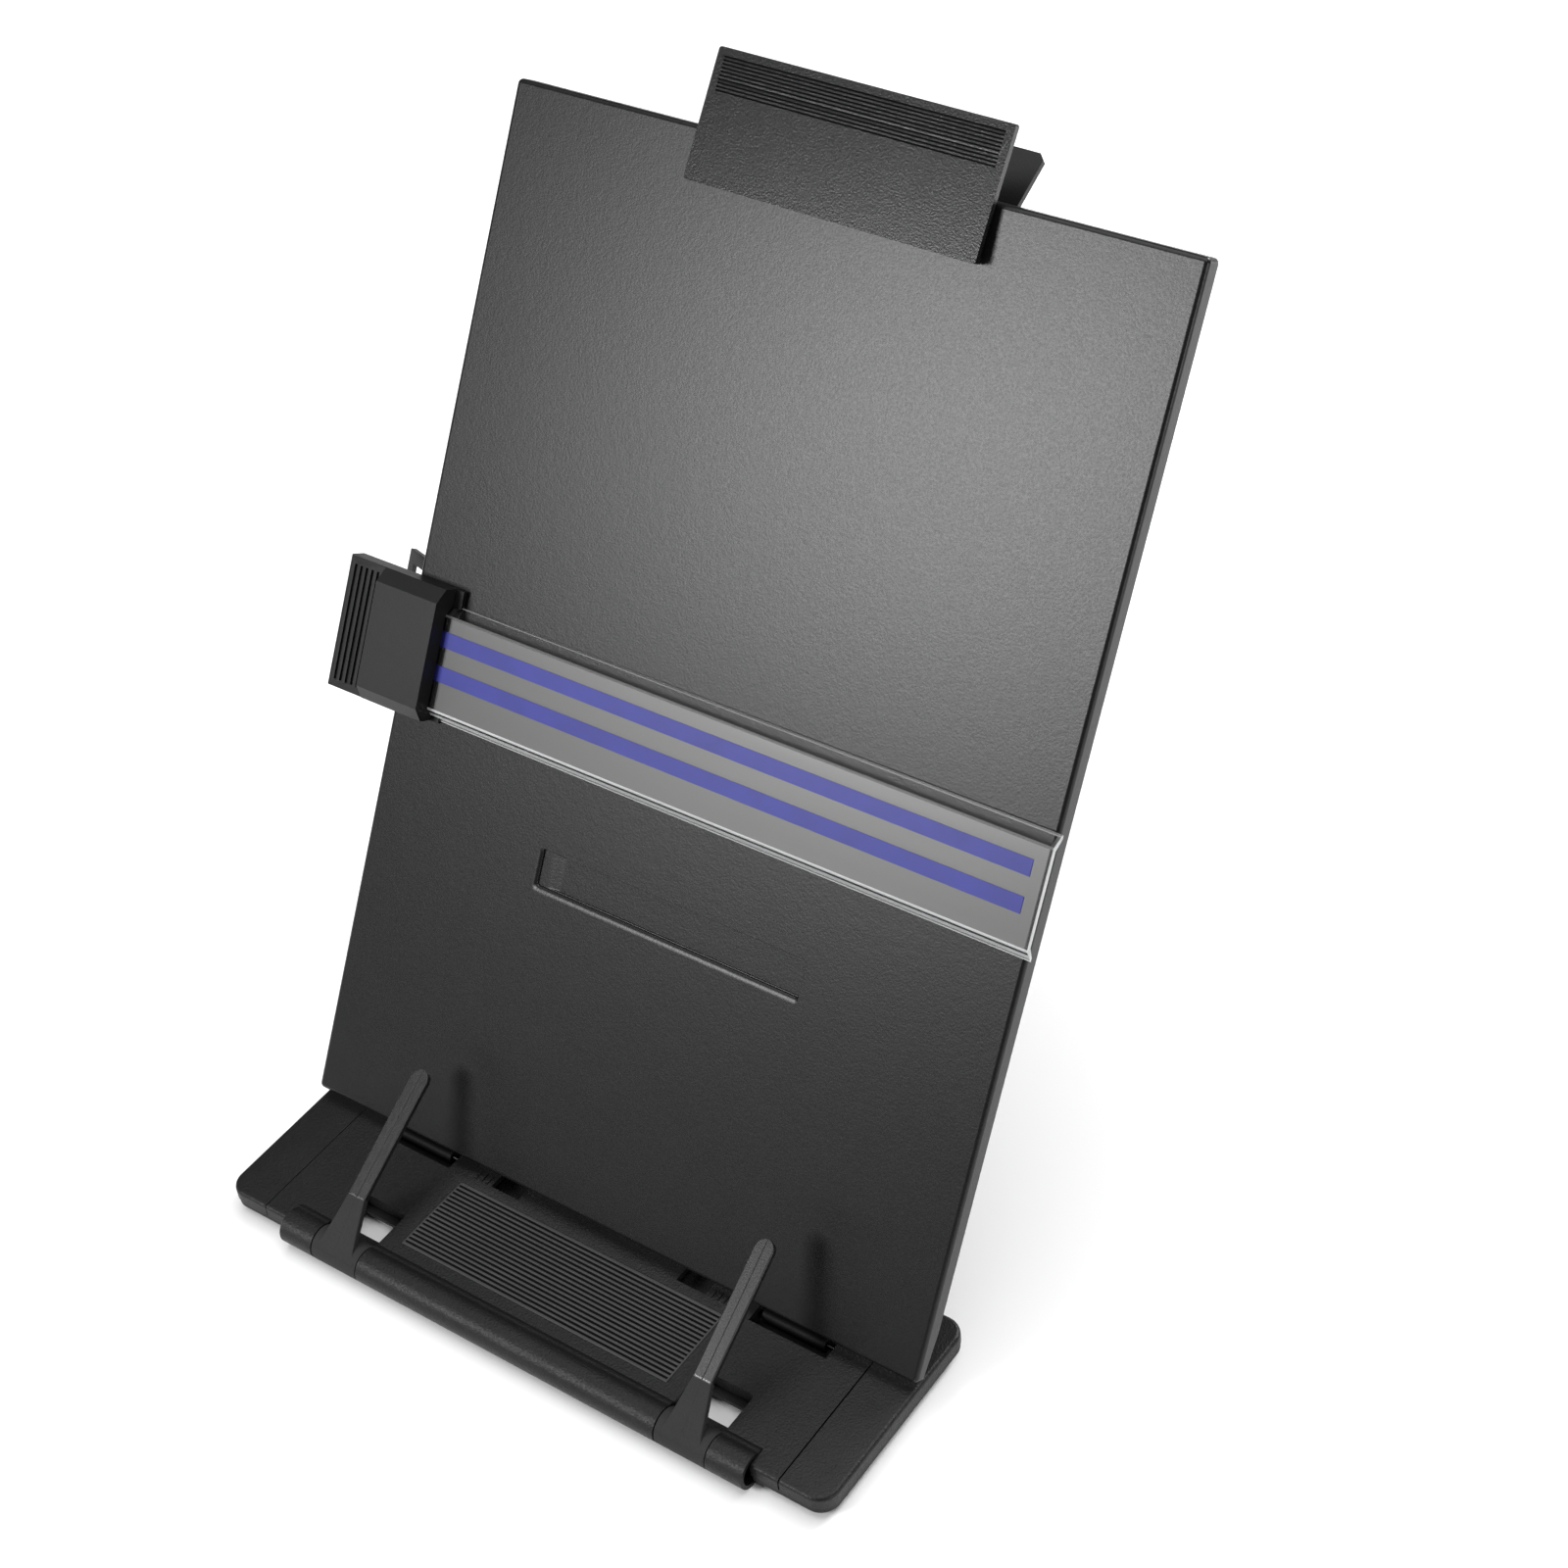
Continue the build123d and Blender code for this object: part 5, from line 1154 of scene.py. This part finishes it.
@dataclass
class Studio:
    """The floor, the soft lights and the camera."""

    floor_size: float = 9.0
    floor_white: float = 0.92
    ambient: float = 0.06
    camera_place: tuple = (0.461644, -0.429912, 0.735445)
    camera_right: tuple = (0.81514, 0.57244, -0.08866)
    camera_up: tuple = (-0.31955, 0.57202, 0.75543)
    camera_back: tuple = (0.48315, -0.58745, 0.6492)
    lens: float = 66.083

    def build_floor(self) -> None:
        """Builds the pale floor, one flat face with a faint grain."""
        half = self.floor_size / 2
        mesh = bpy.data.meshes.new("studio_floor")
        mesh.from_pydata([(-half, -half, 0), (half, -half, 0), (half, half, 0), (-half, half, 0)], [],
                         [(0, 1, 2, 3)])
        floor = bpy.data.objects.new("studio_floor", mesh)
        bpy.context.scene.collection.objects.link(floor)
        graph = Graph("studio_floor")
        grain = graph.noise(40, 2.0)
        white = (self.floor_white,) * 3
        pale = (self.floor_white * 0.995,) * 3
        graph.join(graph.blend(grain, white, pale), graph.shader.inputs["Base Color"])
        graph.fixed(Roughness=0.9, Specular_IOR_Level=0.1)
        mesh.materials.append(graph.material)

    def add_softbox(self, name: str, place: tuple, aim: tuple, size: float, watts: float,
                    spread: float) -> None:
        """Adds a square soft light.

        Args:
            name: its name.
            place: where it stands, in metres.
            aim: what it faces.
            size: length of a side.
            watts: its power.
            spread: full angle of its grid in degrees; 180 is no grid.
        """
        light = bpy.data.lights.new(name, "AREA")
        light.shape = "SQUARE"
        light.size = size
        light.energy = watts
        light.spread = radians(spread)
        lamp = bpy.data.objects.new(name, light)
        lamp.location = place
        lamp.rotation_euler = (Vector(aim) - Vector(place)).to_track_quat("-Z", "Y").to_euler()
        bpy.context.scene.collection.objects.link(lamp)

    def build_light(self) -> None:
        """Adds the soft lights and the pale surroundings."""
        world = bpy.data.worlds.new("studio_air")
        world.use_nodes = True
        world.node_tree.nodes["Background"].inputs["Color"].default_value = (1, 1, 1, 1)
        world.node_tree.nodes["Background"].inputs["Strength"].default_value = self.ambient
        bpy.context.scene.world = world
        self.add_softbox("key_softbox", (-0.71, -1.27, 0.90), (0.06, 0.14, 0.22), 0.5, 20.8, 180)
        self.add_softbox("side_softbox", (1.5, -0.15, 0.4), (0.2, 0.0, 0.05), 0.4, 2.2, 120)
        self.add_softbox("back_softbox", (0.45, 1.45, 0.9), (0.34, 0.25, 0), 0.6, 26.0, 180)
        self.add_softbox("top_softbox", (0.0, 0.3, 2.3), (0, 0.3, 0), 2.6, 55.0, 180)

    def build_camera(self) -> None:
        """Adds the camera at the photograph's place, from its three measured directions."""
        camera = bpy.data.cameras.new("photo_camera")
        camera.lens = self.lens
        camera.sensor_width = 36.0
        camera.clip_start = 0.01
        stand = bpy.data.objects.new("photo_camera", camera)
        turn = Matrix((self.camera_right, self.camera_up, self.camera_back)).transposed()
        stand.matrix_world = Matrix.Translation(self.camera_place) @ turn.to_4x4()
        bpy.context.scene.collection.objects.link(stand)
        bpy.context.scene.camera = stand

    def build(self) -> None:
        """Builds the whole studio."""
        self.build_camera()
        self.build_floor()
        self.build_light()
        bpy.context.scene.view_settings.view_transform = "Standard"


def corners(box: object) -> list:
    """A box's corners as plain lists of numbers."""
    return [[float(value) for value in corner] for corner in box]


def main() -> None:
    """Builds the studio and every sub-assembly in order."""
    logging.basicConfig(level=logging.INFO, format="%(message)s")
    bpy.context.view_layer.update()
    Studio().build()
    Base().build()
    BackPanel().build()
    PropLeg().build()
    PageFinger(-1, 38.9).build()
    PageFinger(1, 41.9).build()
    TopClip().build()
    LineGuide().build()
    LOG.info("all pieces built")


if __name__ == "__main__":
    main()
